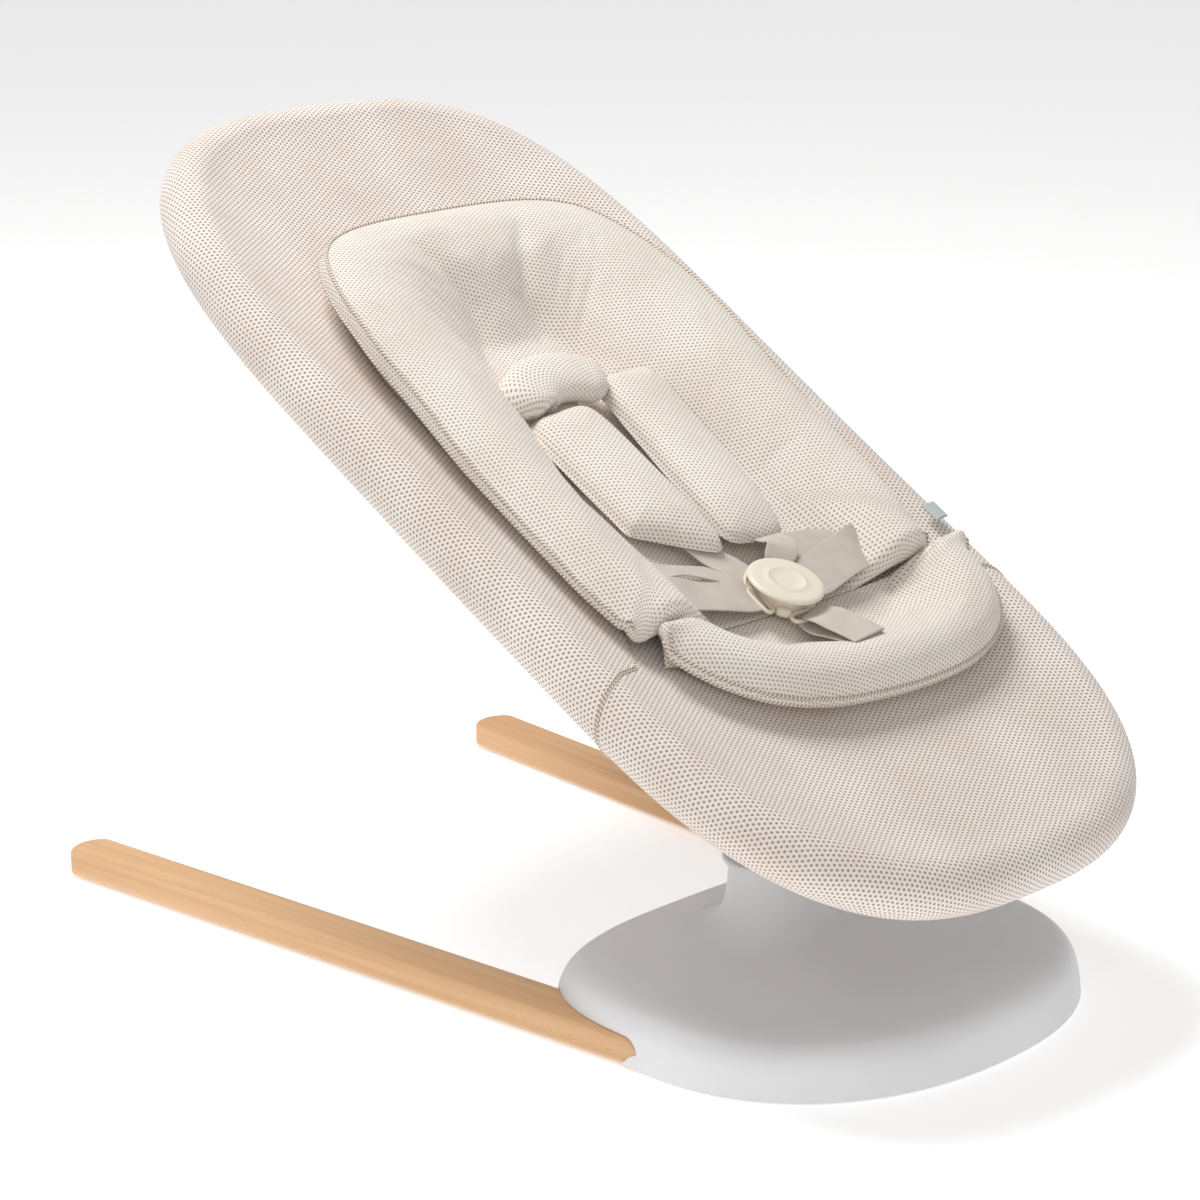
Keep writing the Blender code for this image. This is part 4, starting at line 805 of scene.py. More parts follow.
COVER_MESH = SpacerMesh("spacer_mesh_cover", "cover_mesh")
# The third colour is the painted shade inside the holes.
INSERT_MESH = SpacerMesh("spacer_mesh_insert", "insert_mesh", "#f8f0e8", "#efe4da", "#ab9c91", 3.3 * MM,
                         0.8 * MM)
WEBBING = SatinWebbing("satin_webbing", "webbing")
WHITE_ABS = MouldedPlastic("white_moulded_abs", "white_plastic", "#f4f4f5", "#eeeef0", 0.46)
PALE_GREY_ABS = MouldedPlastic("pale_grey_moulded_abs", "light_grey_plastic", "#d3d5d8", "#cbcdd0", 0.5)
GREY_NYLON = MouldedPlastic("grey_moulded_nylon", "grey_plastic", "#85878a", "#7b7d80", 0.5)
IVORY_ACETAL = MouldedPlastic("ivory_acetal", "ivory_plastic", "#f0e8d8", "#eae0cd", 0.36, 0.6 * MM,
                              0.01 * MM)
RUBBER = SoftFill("moulded_grip_rubber", "grip_rubber")
FOAM = SoftFill("cut_foam", "rim_foam", "#e4dfd3", "#cfc8b9", 0.95, 1.2 * MM, 0.3 * MM)
TAG = SoftFill("woven_tag", "tag_fabric", "#c4cac8", "#a9b1af", 0.8, 0.7 * MM, 0.1 * MM)
ZINC = Metal("zinc_plated_steel", "zinc_steel")
SPRING_STEEL = Metal("oiled_spring_steel", "spring_steel", "#85878b", "#6c6e72", 1.0, 0.3,
                     (600.0, 600.0, 60.0))
CAST = Metal("cast_aluminium", "cast_aluminium", "#c6c8ca", "#b2b4b6", 1.0, 0.45, (420.0, 420.0, 420.0))
TUBE = Metal("painted_aluminium_tube", "frame_aluminium", "#d2d4d6", "#c4c6c8", 0.6, 0.42,
             (300.0, 300.0, 300.0))
BOUND_EDGE = Overlock("overlocked_edge", "insert_mesh")


def dress(piece: bpy.types.Object, finish: Finish, body: str, *stands_for: str) -> bpy.types.Object:
    """Gives a piece its finish and the body it moves with, and reports it.

    Args:
        piece: the finished piece.
        finish: its material.
        body: the body that it rides on.
        stands_for: CAD nodes that it replaces.

    Returns:
        The piece.
    """
    piece.data.materials.clear()
    piece.data.materials.append(finish.material())
    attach(piece, body)
    if stands_for:
        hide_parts(*stands_for)
    LOG.info("%s: %d faces, %s", piece.name, len(piece.data.polygons), finish.name)
    return piece


def refined(name: str, finish: Finish, edge: float = 0.5 * MM) -> bpy.types.Object:
    """A merged copy of a CAD node with its edges rounded, in the node's place.

    Args:
        name: the CAD node.
        finish: its material.
        edge: width of the rounding.

    Returns:
        The piece.
    """
    source = frame["nodes"][name]
    shape = bmesh.new()
    shape.from_mesh(source.data)
    bmesh.ops.remove_doubles(shape, verts=shape.verts, dist=1e-5)
    bmesh.ops.dissolve_limit(shape, angle_limit=math.radians(1), verts=shape.verts, edges=shape.edges)
    mesh = bpy.data.meshes.new(f"{name}_smooth")
    shape.to_mesh(mesh)
    shape.free()
    mesh.shade_smooth()
    piece = bpy.data.objects.new(f"{name}_smooth", mesh)
    bpy.context.scene.collection.objects.link(piece)
    step = piece.modifiers.new("rounded_edges", "BEVEL")
    step.width, step.segments, step.limit_method, step.angle_limit = edge, 2, "ANGLE", math.radians(35)
    step.harden_normals = True
    return dress(piece, finish, source["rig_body"], name)


def plump(piece: bpy.types.Object, pinned: Callable[[Array], Array], pressure: float = 4.0,
          most: float = 5 * MM,
          frames: int = 20) -> None:
    """Swells a closed fabric piece by cloth simulation and keeps the result in its mesh.

    Args:
        piece: the piece, with its final UVs.
        pinned: says from the points' places, in room coordinates, how firmly each is held, from 0 to 1.
        pressure: air pressure inside.
        most: no point moves further than this.
        frames: simulated frames.
    """
    count = len(piece.data.vertices)
    start = np.empty(count * 3, np.float32)
    piece.data.vertices.foreach_get("co", start)
    start = start.reshape(-1, 3)
    hold = np.clip(pinned(start.astype(float)), 0, 1)
    group = piece.vertex_groups.new(name="held")
    for level in np.unique(np.round(hold, 1)):
        if level > 0:
            group.add(np.flatnonzero(np.round(hold, 1) == level).tolist(), float(level), "REPLACE")
    step = piece.modifiers.new("filling", "CLOTH")
    cloth = step.settings
    cloth.use_pressure, cloth.uniform_pressure_force = True, pressure
    cloth.effector_weights.gravity = 0.0
    cloth.vertex_group_mass = "held"
    cloth.quality = 4
    cloth.tension_stiffness = cloth.compression_stiffness = cloth.shear_stiffness = 12.0
    cloth.bending_stiffness = 0.8
    step.collision_settings.use_collision = False
    scene = bpy.context.scene
    for number in range(1, frames + 1):
        scene.frame_set(number)
    graph = bpy.context.evaluated_depsgraph_get()
    swollen = np.empty(count * 3, np.float32)
    piece.evaluated_get(graph).data.vertices.foreach_get("co", swollen)
    move = swollen.reshape(-1, 3) - start
    length = np.linalg.norm(move, axis=1, keepdims=True)
    move *= np.minimum(1, most / np.maximum(length, 1e-9))
    piece.modifiers.remove(step)
    piece.vertex_groups.remove(group)
    scene.frame_set(1)
    piece.data.vertices.foreach_set("co", (start + move).ravel())
    piece.data.update()
    LOG.info("%s: filled, %.1f mm at most", piece.name, float(length.max() / MM))


# ---------------------------------------------------------------- seat: frame, foam and cover

@dataclass
class SeatCover:
    """The oval cover: a sling of spacer mesh that rolls over the padded rim and ends in a hem under it."""

    rim_radius: float = 22 * MM
    thickness: float = 3.5 * MM
    columns: int = 520
    wrap_from: float = math.radians(66)
    wrap_to: float = math.radians(262)
    hip: float = 239 * MM
    hip_slant: float = 42 * MM

    def rows(self) -> tuple[Array, Array]:
        """The outer surface as rows from the middle to the hem.

        Returns:
            Seat coordinates and flat coordinates, a row each. On the sling a ring is the middle plus its share of
            the way to the edge; over the rim it is a circle of the rim's radius about the frame's line. Flat
            coordinates leave the edge along its normal by the run over the rim.
        """
        loop = OVAL.outline(self.columns)
        out = outward_of(loop)
        middle = np.array([0, OVAL.length / 2])
        edge = loop - out * OVAL.deck_inset
        shares = np.concatenate([[0.0], np.linspace(0.06, 0.985, 34) ** 0.8])
        deck = middle + (edge - middle)[None] * shares[:, None, None]
        deck_n = OVAL.deck(deck)
        deck_n[0] = deck_n[0].mean()
        angle = np.linspace(self.wrap_from, self.wrap_to, 34)[:, None]
        across, up = -self.rim_radius * np.cos(angle), self.rim_radius * np.sin(angle)
        rim = loop[None] + out[None] * across[..., None]
        rim_n = up + OVAL.sag(loop[:, 1])[None]
        seat = np.concatenate([np.dstack([deck, deck_n]), np.dstack([rim, rim_n])])
        first = math.hypot(OVAL.deck_inset + across[0, 0], up[0, 0] - OVAL.deck_rise)
        run = first + self.rim_radius * (angle - angle[0])
        flat = np.concatenate([deck, edge[None] + out[None] * run[..., None]])
        return seat, flat

    def build(self) -> None:
        """Makes the cover, its hip seams and its elastic hem."""
        seat, flat = self.rows()
        flat = np.concatenate([flat, flat[:, :1]], axis=1)
        piece = surface("seat_cover_mesh", SEAT.room(seat), flat)
        step = piece.modifiers.new("fabric", "SOLIDIFY")
        step.thickness, step.offset = self.thickness, -1
        dress(piece, COVER_MESH, "seat", "seat_cover")
        hem = rod("cover_hem", SEAT.room(seat[-1]), 1.7 * MM, 12, closed=True)
        dress(hem, WEBBING, "seat")
        for side in Side:
            rows = np.arange(29, len(seat))
            wanted = self.hip - self.hip_slant * np.linspace(0, 1, len(rows)) ** 0.9
            loop = OVAL.outline(self.columns)
            half = np.flatnonzero((loop[:, 0] * side.value > 0) & (loop[:, 1] < OVAL.length / 2))
            half = half[np.argsort(loop[half, 1])]
            column = np.interp(wanted, loop[half, 1], np.arange(len(half)))
            low = column.astype(int)
            share = (column - low)[:, None]
            line = SEAT.room(seat[rows, half[low]] * (1 - share) + seat[rows, half[low + 1]] * share)
            out = np.gradient(line, axis=0)
            normal = np.cross(out, [0.0, math.cos(SEAT.tilt), math.sin(SEAT.tilt)])
            normal /= np.linalg.norm(normal, axis=1)[:, None]
            centre = SEAT.room([side.value * float(OVAL.half_width(self.hip)), self.hip, 0.0])
            normal *= np.sign(((line - centre) * normal).sum(axis=1))[:, None]
            for number, shift in enumerate((-1.1, 1.1)):
                moved = line + normal * 0.1 * MM + SEAT.direction([0, shift * MM, 0])
                dress(rod(f"hip_seam_{side.word}_{number + 1}", moved, 0.75 * MM, 8), BOUND_EDGE, "seat")


@dataclass
class SeatFrame:
    """The oval tube, its foam sleeve, the cross tubes and the spring bars, as round sections on their lines."""

    tube_radius: float = 8 * MM
    foam_outer: float = 16.6 * MM
    foam_inner: float = 9.3 * MM
    cross_radius: float = 6 * MM
    cross_depth: float = 33 * MM
    bar_radius: float = 4 * MM
    bar_spacing: float = 64 * MM
    bar_overhang: float = 14 * MM
    crossings: tuple[float, float] = (125 * MM, 430 * MM)

    def ring(self, count: int, inset: Array, height: Array) -> Array:
        """Rings about the frame's line, from insets towards the middle and heights."""
        loop = OVAL.outline(count)
        spots = loop[None] - outward_of(loop)[None] * np.asarray(inset)[:, None, None]
        return SEAT.room(np.dstack([spots, np.asarray(height)[:, None] + OVAL.sag(loop[:, 1])[None]]))

    def build(self) -> None:
        """Makes each bar."""
        turn = np.arange(20) * 2 * np.pi / 20
        tube = self.ring(300, self.tube_radius * np.cos(turn), self.tube_radius * np.sin(turn))
        dress(surface("seat_frame_tube", np.concatenate([tube, tube[:1]])), TUBE, "seat", "seat_frame")
        arc = np.linspace(math.radians(5), math.radians(262), 26)
        radius = np.concatenate([np.full(26, self.foam_outer), np.full(26, self.foam_inner)])
        both = np.concatenate([arc, arc[::-1]])
        foam = self.ring(300, radius * np.cos(both), radius * np.sin(both))
        dress(surface("rim_foam_sleeve", np.concatenate([foam, foam[:1]])), FOAM, "seat", "frame_foam")
        entry = math.radians((262 + 365) / 2)
        way = np.array([math.cos(entry), math.sin(entry)])
        for word, along in zip(("front", "rear"), self.crossings):
            half_width, sag = float(OVAL.half_width(along)), float(OVAL.sag(along))
            start, bend = way * (self.tube_radius + 1.2 * MM), way * 34 * MM
            half = [(half_width - start[0], sag + start[1]),
                    (half_width - bend[0] * 0.6, sag + bend[1] * 0.6),
                    (half_width - bend[0] - 14 * MM, -self.cross_depth + 2 * MM),
                    (self.bar_spacing / 2 + 40 * MM, -self.cross_depth), (self.bar_spacing / 2,
                                                                          -self.cross_depth)]
            route = smooth_line([*half, (0, -self.cross_depth), *[(-x, n) for x, n in half[::-1]]], 8)
            line = SEAT.room(np.column_stack([route[:, 0], np.full(len(route), along), route[:, 1]]))
            dress(rod(f"cross_tube_{word}_round", line, self.cross_radius, 20), TUBE, "seat",
                  f"cross_tube_{word}")
        level = -self.cross_depth - self.cross_radius - 0.3 * MM - self.bar_radius
        for side in Side:
            x = side.value * self.bar_spacing / 2
            u = np.linspace(self.crossings[0] - self.bar_overhang, self.crossings[1] + self.bar_overhang, 24)
            line = SEAT.room(np.column_stack([np.full(24, x), u, np.full(24, level)]))
            dress(rod(f"spring_bar_{side.word}_round", line, self.bar_radius, 16), SPRING_STEEL, "seat",
                  f"spring_bar_{side.word}")


# ---------------------------------------------------------------- newborn insert

@dataclass
class Pillow:
    """A closed padded piece on a plan outline: a top surface, a side that leans in and a flat underside."""

    name: str
    outline: Array
    centre: tuple[float, float]
    top: Callable[[Array], Array]
    under: Callable[[Array], Array]
    lean: float = 8 * MM
    bulge: float = 1.5 * MM
    top_rows: int = 46
    side_rows: int = 12
    strip: float = 0.4
    finish: Finish = INSERT_MESH
    columns: int = 320

    def build(self, edge_power: float = 0.62) -> bpy.types.Object:
        """Makes the piece.

        Returns:
            The object. A top ring is the centre plus its share of the way to the outline, with the shares crowded
            towards the edge; the side is an upright strip that bulges by a sine, and under it a part that leans in;
            flat coordinates add to the plan what the surface's run gains over it, along the outline's normal.
        """
        loop = even_loop(self.outline, self.columns)
        out = outward_of(loop)
        middle = np.array(self.centre)
        shares = np.linspace(0, 1, self.top_rows) ** edge_power
        plan = middle + (loop - middle)[None] * shares[:, None, None]
        heights = self.top(plan)
        heights[0] = heights[0].mean()
        down = np.linspace(0, 1, self.side_rows + 1)[1:, None]
        upright = np.clip(down / self.strip, 0, 1)
        under_it = np.clip((down - self.strip) / (1 - self.strip), 0, 1)
        side = loop[None] + out[None] * (self.bulge * np.sin(np.pi * upright) - self.lean * under_it**0.8)[..., None]
        low = self.under(side[-1])
        side_n = heights[-1] * (1 - down) + low * down
        base = side[-1]
        inner = np.linspace(1, 0, 8)[1:, None, None]
        floor = middle + (base - middle)[None] * inner
        floor_n = self.under(floor)
        floor_n[-1] = floor_n[-1].mean()
        seat = np.concatenate([np.dstack([plan, heights]), np.dstack([side, side_n]),
                               np.dstack([floor, floor_n])])
        gained = np.zeros(seat.shape[:2])
        steps = np.linalg.norm(np.diff(seat, axis=0), axis=2)
        level = np.linalg.norm(np.diff(seat[..., :2], axis=0), axis=2)
        gained[1:] = np.cumsum(steps - np.where(np.arange(len(steps))[:, None] < self.top_rows - 1, level, 0),
                               axis=0)
        flat = seat[..., :2] + out[None] * gained[..., None]
        flat[self.top_rows:] = loop[None] + out[None] * gained[self.top_rows:, :, None]
        flat = np.concatenate([flat, flat[:, :1]], axis=1)
        return surface(self.name, SEAT.room(seat), flat)


@dataclass
class NewbornInsert:
    """The newborn insert: a back with a thick border and a head hollow, and a U-shaped seat bolster below it."""

    split: float = 248 * MM
    head: float = 668 * MM
    clearance: float = 2.6 * MM
    seat_line: tuple[tuple[float, float], ...] = (
        (-137, 246), (-139, 234), (-130, 214), (-112, 192), (-84, 171), (-45,
                                                                         156), (0, 149), (50, 147), (98, 151),
        (134, 164), (155, 186), (164, 214), (165, 236), (160, 247))

    def back_outline(self) -> Array:
        """Half widths along the back, with a squared rounding at the head and small corners at the split."""
        u = self.split + 1.0 * MM + (self.head - self.split) * (1 - np.cos(np.linspace(0, math.pi, 500))) / 2
        width = soft_steps(u, [248 * MM, 300 * MM, 430 * MM, 540 * MM, 590 * MM, 630 * MM, 700 * MM],
                           [150 * MM, 159 * MM, 164 * MM, 161 * MM, 152 * MM, 139 * MM, 124 * MM], 30 * MM)
        head = np.clip((u - (self.head - 70 * MM)) / (70 * MM + 1 * MM), 0, 1)
        foot = np.clip(1 - (u - self.split - 1.0 * MM) / (7 * MM), 0, 1)
        half = width * (1 - head**3.4) ** (1 / 3.4) - 7 * MM * (1 - np.sqrt(1 - foot**2))
        half = np.maximum(half, 0)
        return np.vstack([np.column_stack([half, u]), np.column_stack([-half[::-1], u[::-1]])])

    def seat_outline(self) -> Array:
        """A smooth line through the seat's foot, closed by a straight back edge."""
        return even_loop(smooth_line(self.seat_line, 12) * MM, 400)

    def under(self, spots: Array) -> Array:
        """The underside rests just above the sling."""
        return OVAL.deck(spots) + self.clearance

    def back_top(self, spots: Array) -> Array:
        """Height of the back's top: a border by the distance from the sides and head, a hollow and soft folds."""
        loop = even_loop(self.back_outline(), 700)
        rim = loop[loop[:, 1] > self.split + 16 * MM]
        rim = np.vstack([rim, [(s * 150 * MM, self.split + d) for s in (-1, 1) for d in (0, 8 * MM)]])
        x, u = spots[..., 0], spots[..., 1]
        inset = soft_distance(spots, rim)
        wide = inset * (1 - 0.28 * np.clip((u - 370 * MM) / (130 * MM), 0, 1))
        edge = np.interp(u, [290 * MM, 360 * MM, 420 * MM, 490 * MM, 560 * MM],
                         [15 * MM, 17 * MM, 20 * MM, 28 * MM, 32 * MM])
        crown = soft_steps(wide, [0, 5 * MM, 20 * MM, 42 * MM, 62 * MM, 86 * MM, 400 * MM],
                           [36 * MM, 40 * MM, 45 * MM, 41 * MM, 27 * MM, 10 * MM, 9.5 * MM], 11 * MM)
        border = crown - (36 * MM - edge) * np.exp(-((inset / (17 * MM)) ** 1.6))
        head = np.exp(-((x / (62 * MM)) ** 2 + ((u - 560 * MM) / (58 * MM)) ** 2) ** 1.5)
        fold_x = np.interp(u, [500 * MM, 528 * MM, 582 * MM, 640 * MM], [52 * MM, 36 * MM, 26 * MM, 54 * MM])
        along = np.exp(-(((u - 578 * MM) / (62 * MM)) ** 4))
        folds = np.exp(-(((np.abs(x) - fold_x) / (12 * MM)) ** 2)) * along
        waves = np.sin(u / (31 * MM) + 2.1 * np.sin(x / (70 * MM))) * np.exp(-((inset - 70 * MM) / (26 * MM)) ** 2)
        ending = np.clip((u - self.split - 1.0 * MM) / (9 * MM), 0, 1)
        rounded = 0.7 + 0.3 * np.sqrt(1 - (1 - ending) ** 2)
        rise = border * np.where(border > 12 * MM, rounded,
                                 1) - 5.5 * MM * folds - 2 * MM * head + 1.1 * MM * waves
        return OVAL.deck(spots) + np.maximum(rise, 6.5 * MM)

    def seat_top(self, spots: Array) -> Array:
        """Height of the seat bolster's top, by the distance from its outer edge."""
        loop = even_loop(self.seat_outline(), 700)
        rim = loop[loop[:, 1] < self.split - 18 * MM]
        inset = soft_distance(spots, rim)
        border = soft_steps(inset, [0, 5 * MM, 14 * MM, 28 * MM, 42 * MM, 66 * MM, 300 * MM],
                            [18 * MM, 27 * MM, 35 * MM, 38 * MM, 31 * MM, 10 * MM, 9.5 * MM], 9 * MM)
        ending = np.clip((self.split - 1.0 * MM - spots[..., 1]) / (9 * MM), 0, 1)
        rounded = 0.7 + 0.3 * np.sqrt(1 - (1 - ending) ** 2)
        dimples = 0.8 * MM * np.sin(np.arctan2(spots[..., 1] - 250 * MM, spots[..., 0]) * 9)
        dimples = dimples * np.exp(-((inset - 60 * MM) / (16 * MM)) ** 2)
        return OVAL.deck(spots) + border * np.where(border > 12 * MM, rounded, 1) + dimples

    def edge_cord(self, name: str, outline: Array, level: Callable[[Array], Array],
                  keep: Callable[[Array], Array],
                  out: float) -> None:
        """A bound cord along part of an outline, a little outside it, at the level given for each point."""
        loop = even_loop(outline, 420)
        spots = loop + outward_of(loop) * out
        line = np.column_stack([spots, level(loop)])
        chosen = keep(loop)
        start = int(np.flatnonzero(chosen & ~np.roll(chosen, 1))[0])
        line = np.roll(line, -start, axis=0)[:int(chosen.sum())]
        dress(rod(name, SEAT.room(line), 1.3 * MM, 10), BOUND_EDGE, "seat")

    def part(self, name: str, outline: Array, centre: tuple, top: Callable[[Array], Array], lean: float,
             bulge: float, fill: float, strip: float) -> None:
        """One padded part: its shape, swollen by the cloth simulation, and its two rows of edge binding."""
        piece = Pillow(name, outline, centre, top, self.under, lean, bulge, strip=strip, top_rows=58,
                       columns=400).build()
        origin, along, square = SEAT.room([0, 0, 0]), SEAT.direction([0, 1, 0]), SEAT.direction([0, 0, 1])

        def still(points: Array) -> Array:
            """Holds the underside and the edge, and frees the top."""
            spots = np.column_stack([points[:, 0], (points - origin) @ along])
            lift = (points - origin) @ square - OVAL.deck(spots)
            edge = distance_to(spots, even_loop(outline, 500))
            return 1 - np.clip((lift - 6 * MM) / (12 * MM), 0, 1) * np.clip((edge - 2 * MM) / (8 * MM), 0, 1)

        plump(piece, still, 3.0, 2.5 * MM)
        dress(piece, INSERT_MESH, "seat", *(["infant_insert"] if name == "insert_back" else []))

        def strip_foot(spots: Array) -> Array:
            """Height of the upright strip's lower edge."""
            return top(spots) * (1 - strip) + self.under(spots) * strip

        near = self.split + 7 * MM if name == "insert_back" else self.split - 9 * MM
        if name == "insert_back":
            def keep(p: Array) -> Array:
                """The sides and the head, without the split's edge."""
                return p[:, 1] > near
        else:
            def keep(p: Array) -> Array:
                """The foot and its sides, without the split's edge."""
                return p[:, 1] < near
        self.edge_cord(f"{name}_upper_binding", outline, top, keep, 0.0)
        self.edge_cord(f"{name}_lower_binding", outline, strip_foot, keep, 0.3 * MM)

    def build(self) -> None:
        """Makes the two padded parts and their bound edges."""
        self.part("insert_back", self.back_outline(), (0, 452 * MM), self.back_top, 19 * MM, 1.0 * MM, 0.6,
                  0.42)
        self.part("insert_seat", self.seat_outline(), (8 * MM, 212 * MM), self.seat_top, 16 * MM, 1.2 * MM,
                  0.7, 0.36)


# ---------------------------------------------------------------- harness

def ribbon(name: str, knots: list, leans: list, width: float = 25 * MM, thickness: float = 1.6 * MM,
           gathered: float = 1.0, per_span: int = 10) -> bpy.types.Object:
    """A flat webbing strap through knots in seat coordinates.

    Args:
        name: the strap's name.
        knots: (x, u, n) places of its middle line.
        leans: (x, u, n) direction of its width at each knot.
        width: its width.
        thickness: its thickness.
        gathered: its width's share at the last knot, where it gathers in a loop.
        per_span: points between knots.

    Returns:
        The strap: a thin rounded section carried along the line, its width turning with the leans.
    """
    line = SEAT.room(smooth_line(knots, per_span))
    lean = SEAT.direction(smooth_line(leans, per_span))
    half = oval_section(width / 2, thickness / 2, 7, 28)
    near = np.clip(1 - (runs(line)[-1] - runs(line)) / (18 * MM), 0, 1)
    grid, flat = carried(line, half, lean)
    grid = line[:, None] + (grid - line[:, None]) * (1 - (1 - gathered) * near**2)[:, None, None]
    grid, flat = shut(grid, flat)
    return surface(name, grid, flat)


@dataclass
class Harness:
    """Yoke, two shoulder pads, five straps and their loops."""

    pad_thickness: float = 19 * MM
    pad_low: float = 12 * MM
    strap_width: float = 34 * MM

    def pad(self, name: str, centre: tuple, size: tuple, slant: float, cut: float, roll: float,
            stands_for: str) -> None:
        """One shoulder pad: a loaf whose height falls off as a superellipse towards its edge.

        Args:
            name: the pad's name.
            centre: its place along x and up the seat.
            size: its width and length.
            slant: how far it leans sideways, per length.
            cut: how far its lower end slants, per width.
            roll: how much higher its right-hand side is.
            stands_for: the frame's node that it replaces.
        """
        turn = np.linspace(0, 2 * np.pi, 400, endpoint=False)
        across = size[0] / 2 * np.sign(np.cos(turn)) * np.abs(np.cos(turn)) ** 0.42
        along = size[1] / 2 * np.sign(np.sin(turn)) * np.abs(np.sin(turn)) ** 0.3
        low = np.clip((-along - size[1] * 0.1) / (size[1] * 0.4), 0, 1) ** 1.5
        along = along - cut * (across - size[0] / 2) * low
        outline = np.column_stack([centre[0] + across + slant * along, centre[1] + along])
        loop = even_loop(outline, 300)

        def top(spots: Array) -> Array:
            """The crown's height, lower at the pad's lower end."""
            inset = np.clip((distance_to(spots, loop) - 0.3 * MM) / (size[0] / 2), 0, 1)
            crown = (1 - (1 - inset) ** 2.4) ** (1 / 2.4)
            end = np.clip((spots[..., 1] - (centre[1] - size[1] / 2)) / (40 * MM), 0, 1)
            tilt = roll * (spots[..., 0] - centre[0] - slant * (spots[..., 1] - centre[1])) / size[0]
            return self.pad_low + 5 * MM + (self.pad_thickness - 5 * MM) * crown * (0.55 + 0.45 * end) + tilt

        def under(spots: Array) -> Array:
            """The pad's flat underside."""
            return np.full(spots.shape[:-1],
                           self.pad_low) + 0.3 * roll * (spots[..., 0] - centre[0]) / size[0]

        piece = Pillow(name, outline, centre, top, under, 5 * MM, 2 * MM, 30, 8, columns=280).build()
        base = SEAT.room([0, 0, self.pad_low])
        square = SEAT.direction([0, 0, 1])
        plump(piece, lambda p: 1 - np.clip(((p - base) @ square - 2 * MM) / (5 * MM), 0, 1), 4.0, 2.5 * MM)
        dress(piece, INSERT_MESH, "seat", stands_for)

    def yoke(self) -> None:
        """The neck pad: a flattened round section along an arch, rounded at both ends."""
        line = smooth_line([(-68, 462, 19), (-62, 476, 22), (-45, 486, 25), (-24, 487, 26), (-4, 481, 25),
                            (12, 471, 23)], 12) * MM
        run = runs(line)
        reach = run[-1]
        ends = np.minimum(run, reach - run)
        scale = np.sqrt(1 - np.clip(1 - ends / (18 * MM), 0, 1) ** 2).clip(0.05)
        grid, flat = carried(SEAT.room(line), oval_section(22 * MM, 12 * MM, 2.4, 60),
                             SEAT.direction([0.0, 1.0, 0.0]),
                             scale)
        grid, flat = shut(grid, flat)
        piece = surface("neck_pad_yoke", grid, flat)
        base = SEAT.room([0, 0, 14 * MM])
        square = SEAT.direction([0, 0, 1])
        plump(piece, lambda p: 1 - np.clip(((p - base) @ square - 2 * MM) / (5 * MM), 0, 1), 4.0, 2.5 * MM)
        dress(piece, INSERT_MESH, "seat", "neck_pad")

    def straps(self) -> None:
        """The five straps: shoulder, waist and crotch, each as it lies between its pad or slot and its tongue."""
        w = self.strap_width
        mm = [
            ("waist_strap_left_band",
             [(-118, 277, 22), (-90, 275, 22), (-62, 269, 18), (-38, 264, 17), (-20, 260, 15)],
             [(0.2, 0.97, 0.05), (0.2, 0.97, 0.0), (0.1, 0.97, -0.1), (-0.1, 0.97, 0.05),
              (-0.2, 0.95, 0.1)], w, 0.75,
             "waist_strap_left"),
            ("waist_strap_left_tail",
             [(-84, 305, 15), (-66, 300, 15), (-44, 290, 15), (-24, 278, 15), (-12, 270, 15)],
             [(0.1, 0.95, -0.2), (0.1, 0.9, -0.4), (0.3, 0.9, -0.3), (0.3, 0.9, 0.0),
              (0.3, 0.9, 0.0)], 22 * MM, 0.8, ""),
            ("waist_strap_right_band",
             [(98, 272, 21), (86, 269, 24), (68, 266, 23), (46, 262, 19), (24, 257, 15)],
             [(0.6, 0.8, 0.1), (0.58, 0.8, 0.15), (0.35, 0.92, 0.15), (0.2, 0.95, 0.15),
              (0.1, 0.98, 0.1)], w, 0.75,
             "waist_strap_right"),
            ("waist_strap_right_fold",
             [(98, 272, 20), (90, 275, 18.5), (70, 284, 17), (48, 288, 15.5), (30, 284, 14)],
             [(0.6, 0.8, 0.1), (0.5, 0.85, 0.0), (0.3, 0.95, 0.0), (0.2, 0.97, 0.0),
              (0.1, 0.99, 0.0)], w, 1.0, ""),
            ("shoulder_strap_left_end", [(-30, 330, 13), (-27, 305, 14), (-20, 290, 15), (-14, 279, 15.5)],
             [(0.95, 0.3, 0.0), (0.9, 0.4, 0.0), (0.85, 0.5, 0.0), (0.82, 0.57, 0.0)], 24 * MM, 0.8,
             "shoulder_strap_left"),
            ("shoulder_strap_right_end",
             [(24, 330, 14), (28, 308, 17), (30, 296, 22), (26, 288, 23.5), (19, 282, 20),
                                          (15, 278, 16)],
             [(1.0, 0.0, 0.0), (0.98, 0.1, 0.0), (0.95, -0.1, 0.0), (0.9, -0.3, 0.0), (0.86, -0.5, 0.0),
              (0.82, -0.57, 0.0)], 24 * MM, 0.8, "shoulder_strap_right"),
            ("crotch_strap_upper",
             [(14, 187, 33), (13, 196, 30.5), (11, 208, 27), (7, 220, 24), (2, 231, 18)],
             [(1.0, 0.1, 0.0)] * 5, w, 0.7, "crotch_strap"),
            ("crotch_strap_under",
             [(14, 187, 30), (13, 196, 26), (11, 208, 20), (7, 220, 15), (1, 233, 13.5)],
             [(1.0, 0.1, 0.0)] * 5, w, 0.7, ""),
        ]
        for name, knots, leans, width, gathered, stands_for in mm:
            piece = ribbon(name, [tuple(v * MM for v in k) for k in knots], leans, width, gathered=gathered)
            dress(piece, WEBBING, "seat", *([stands_for] if stands_for else []))

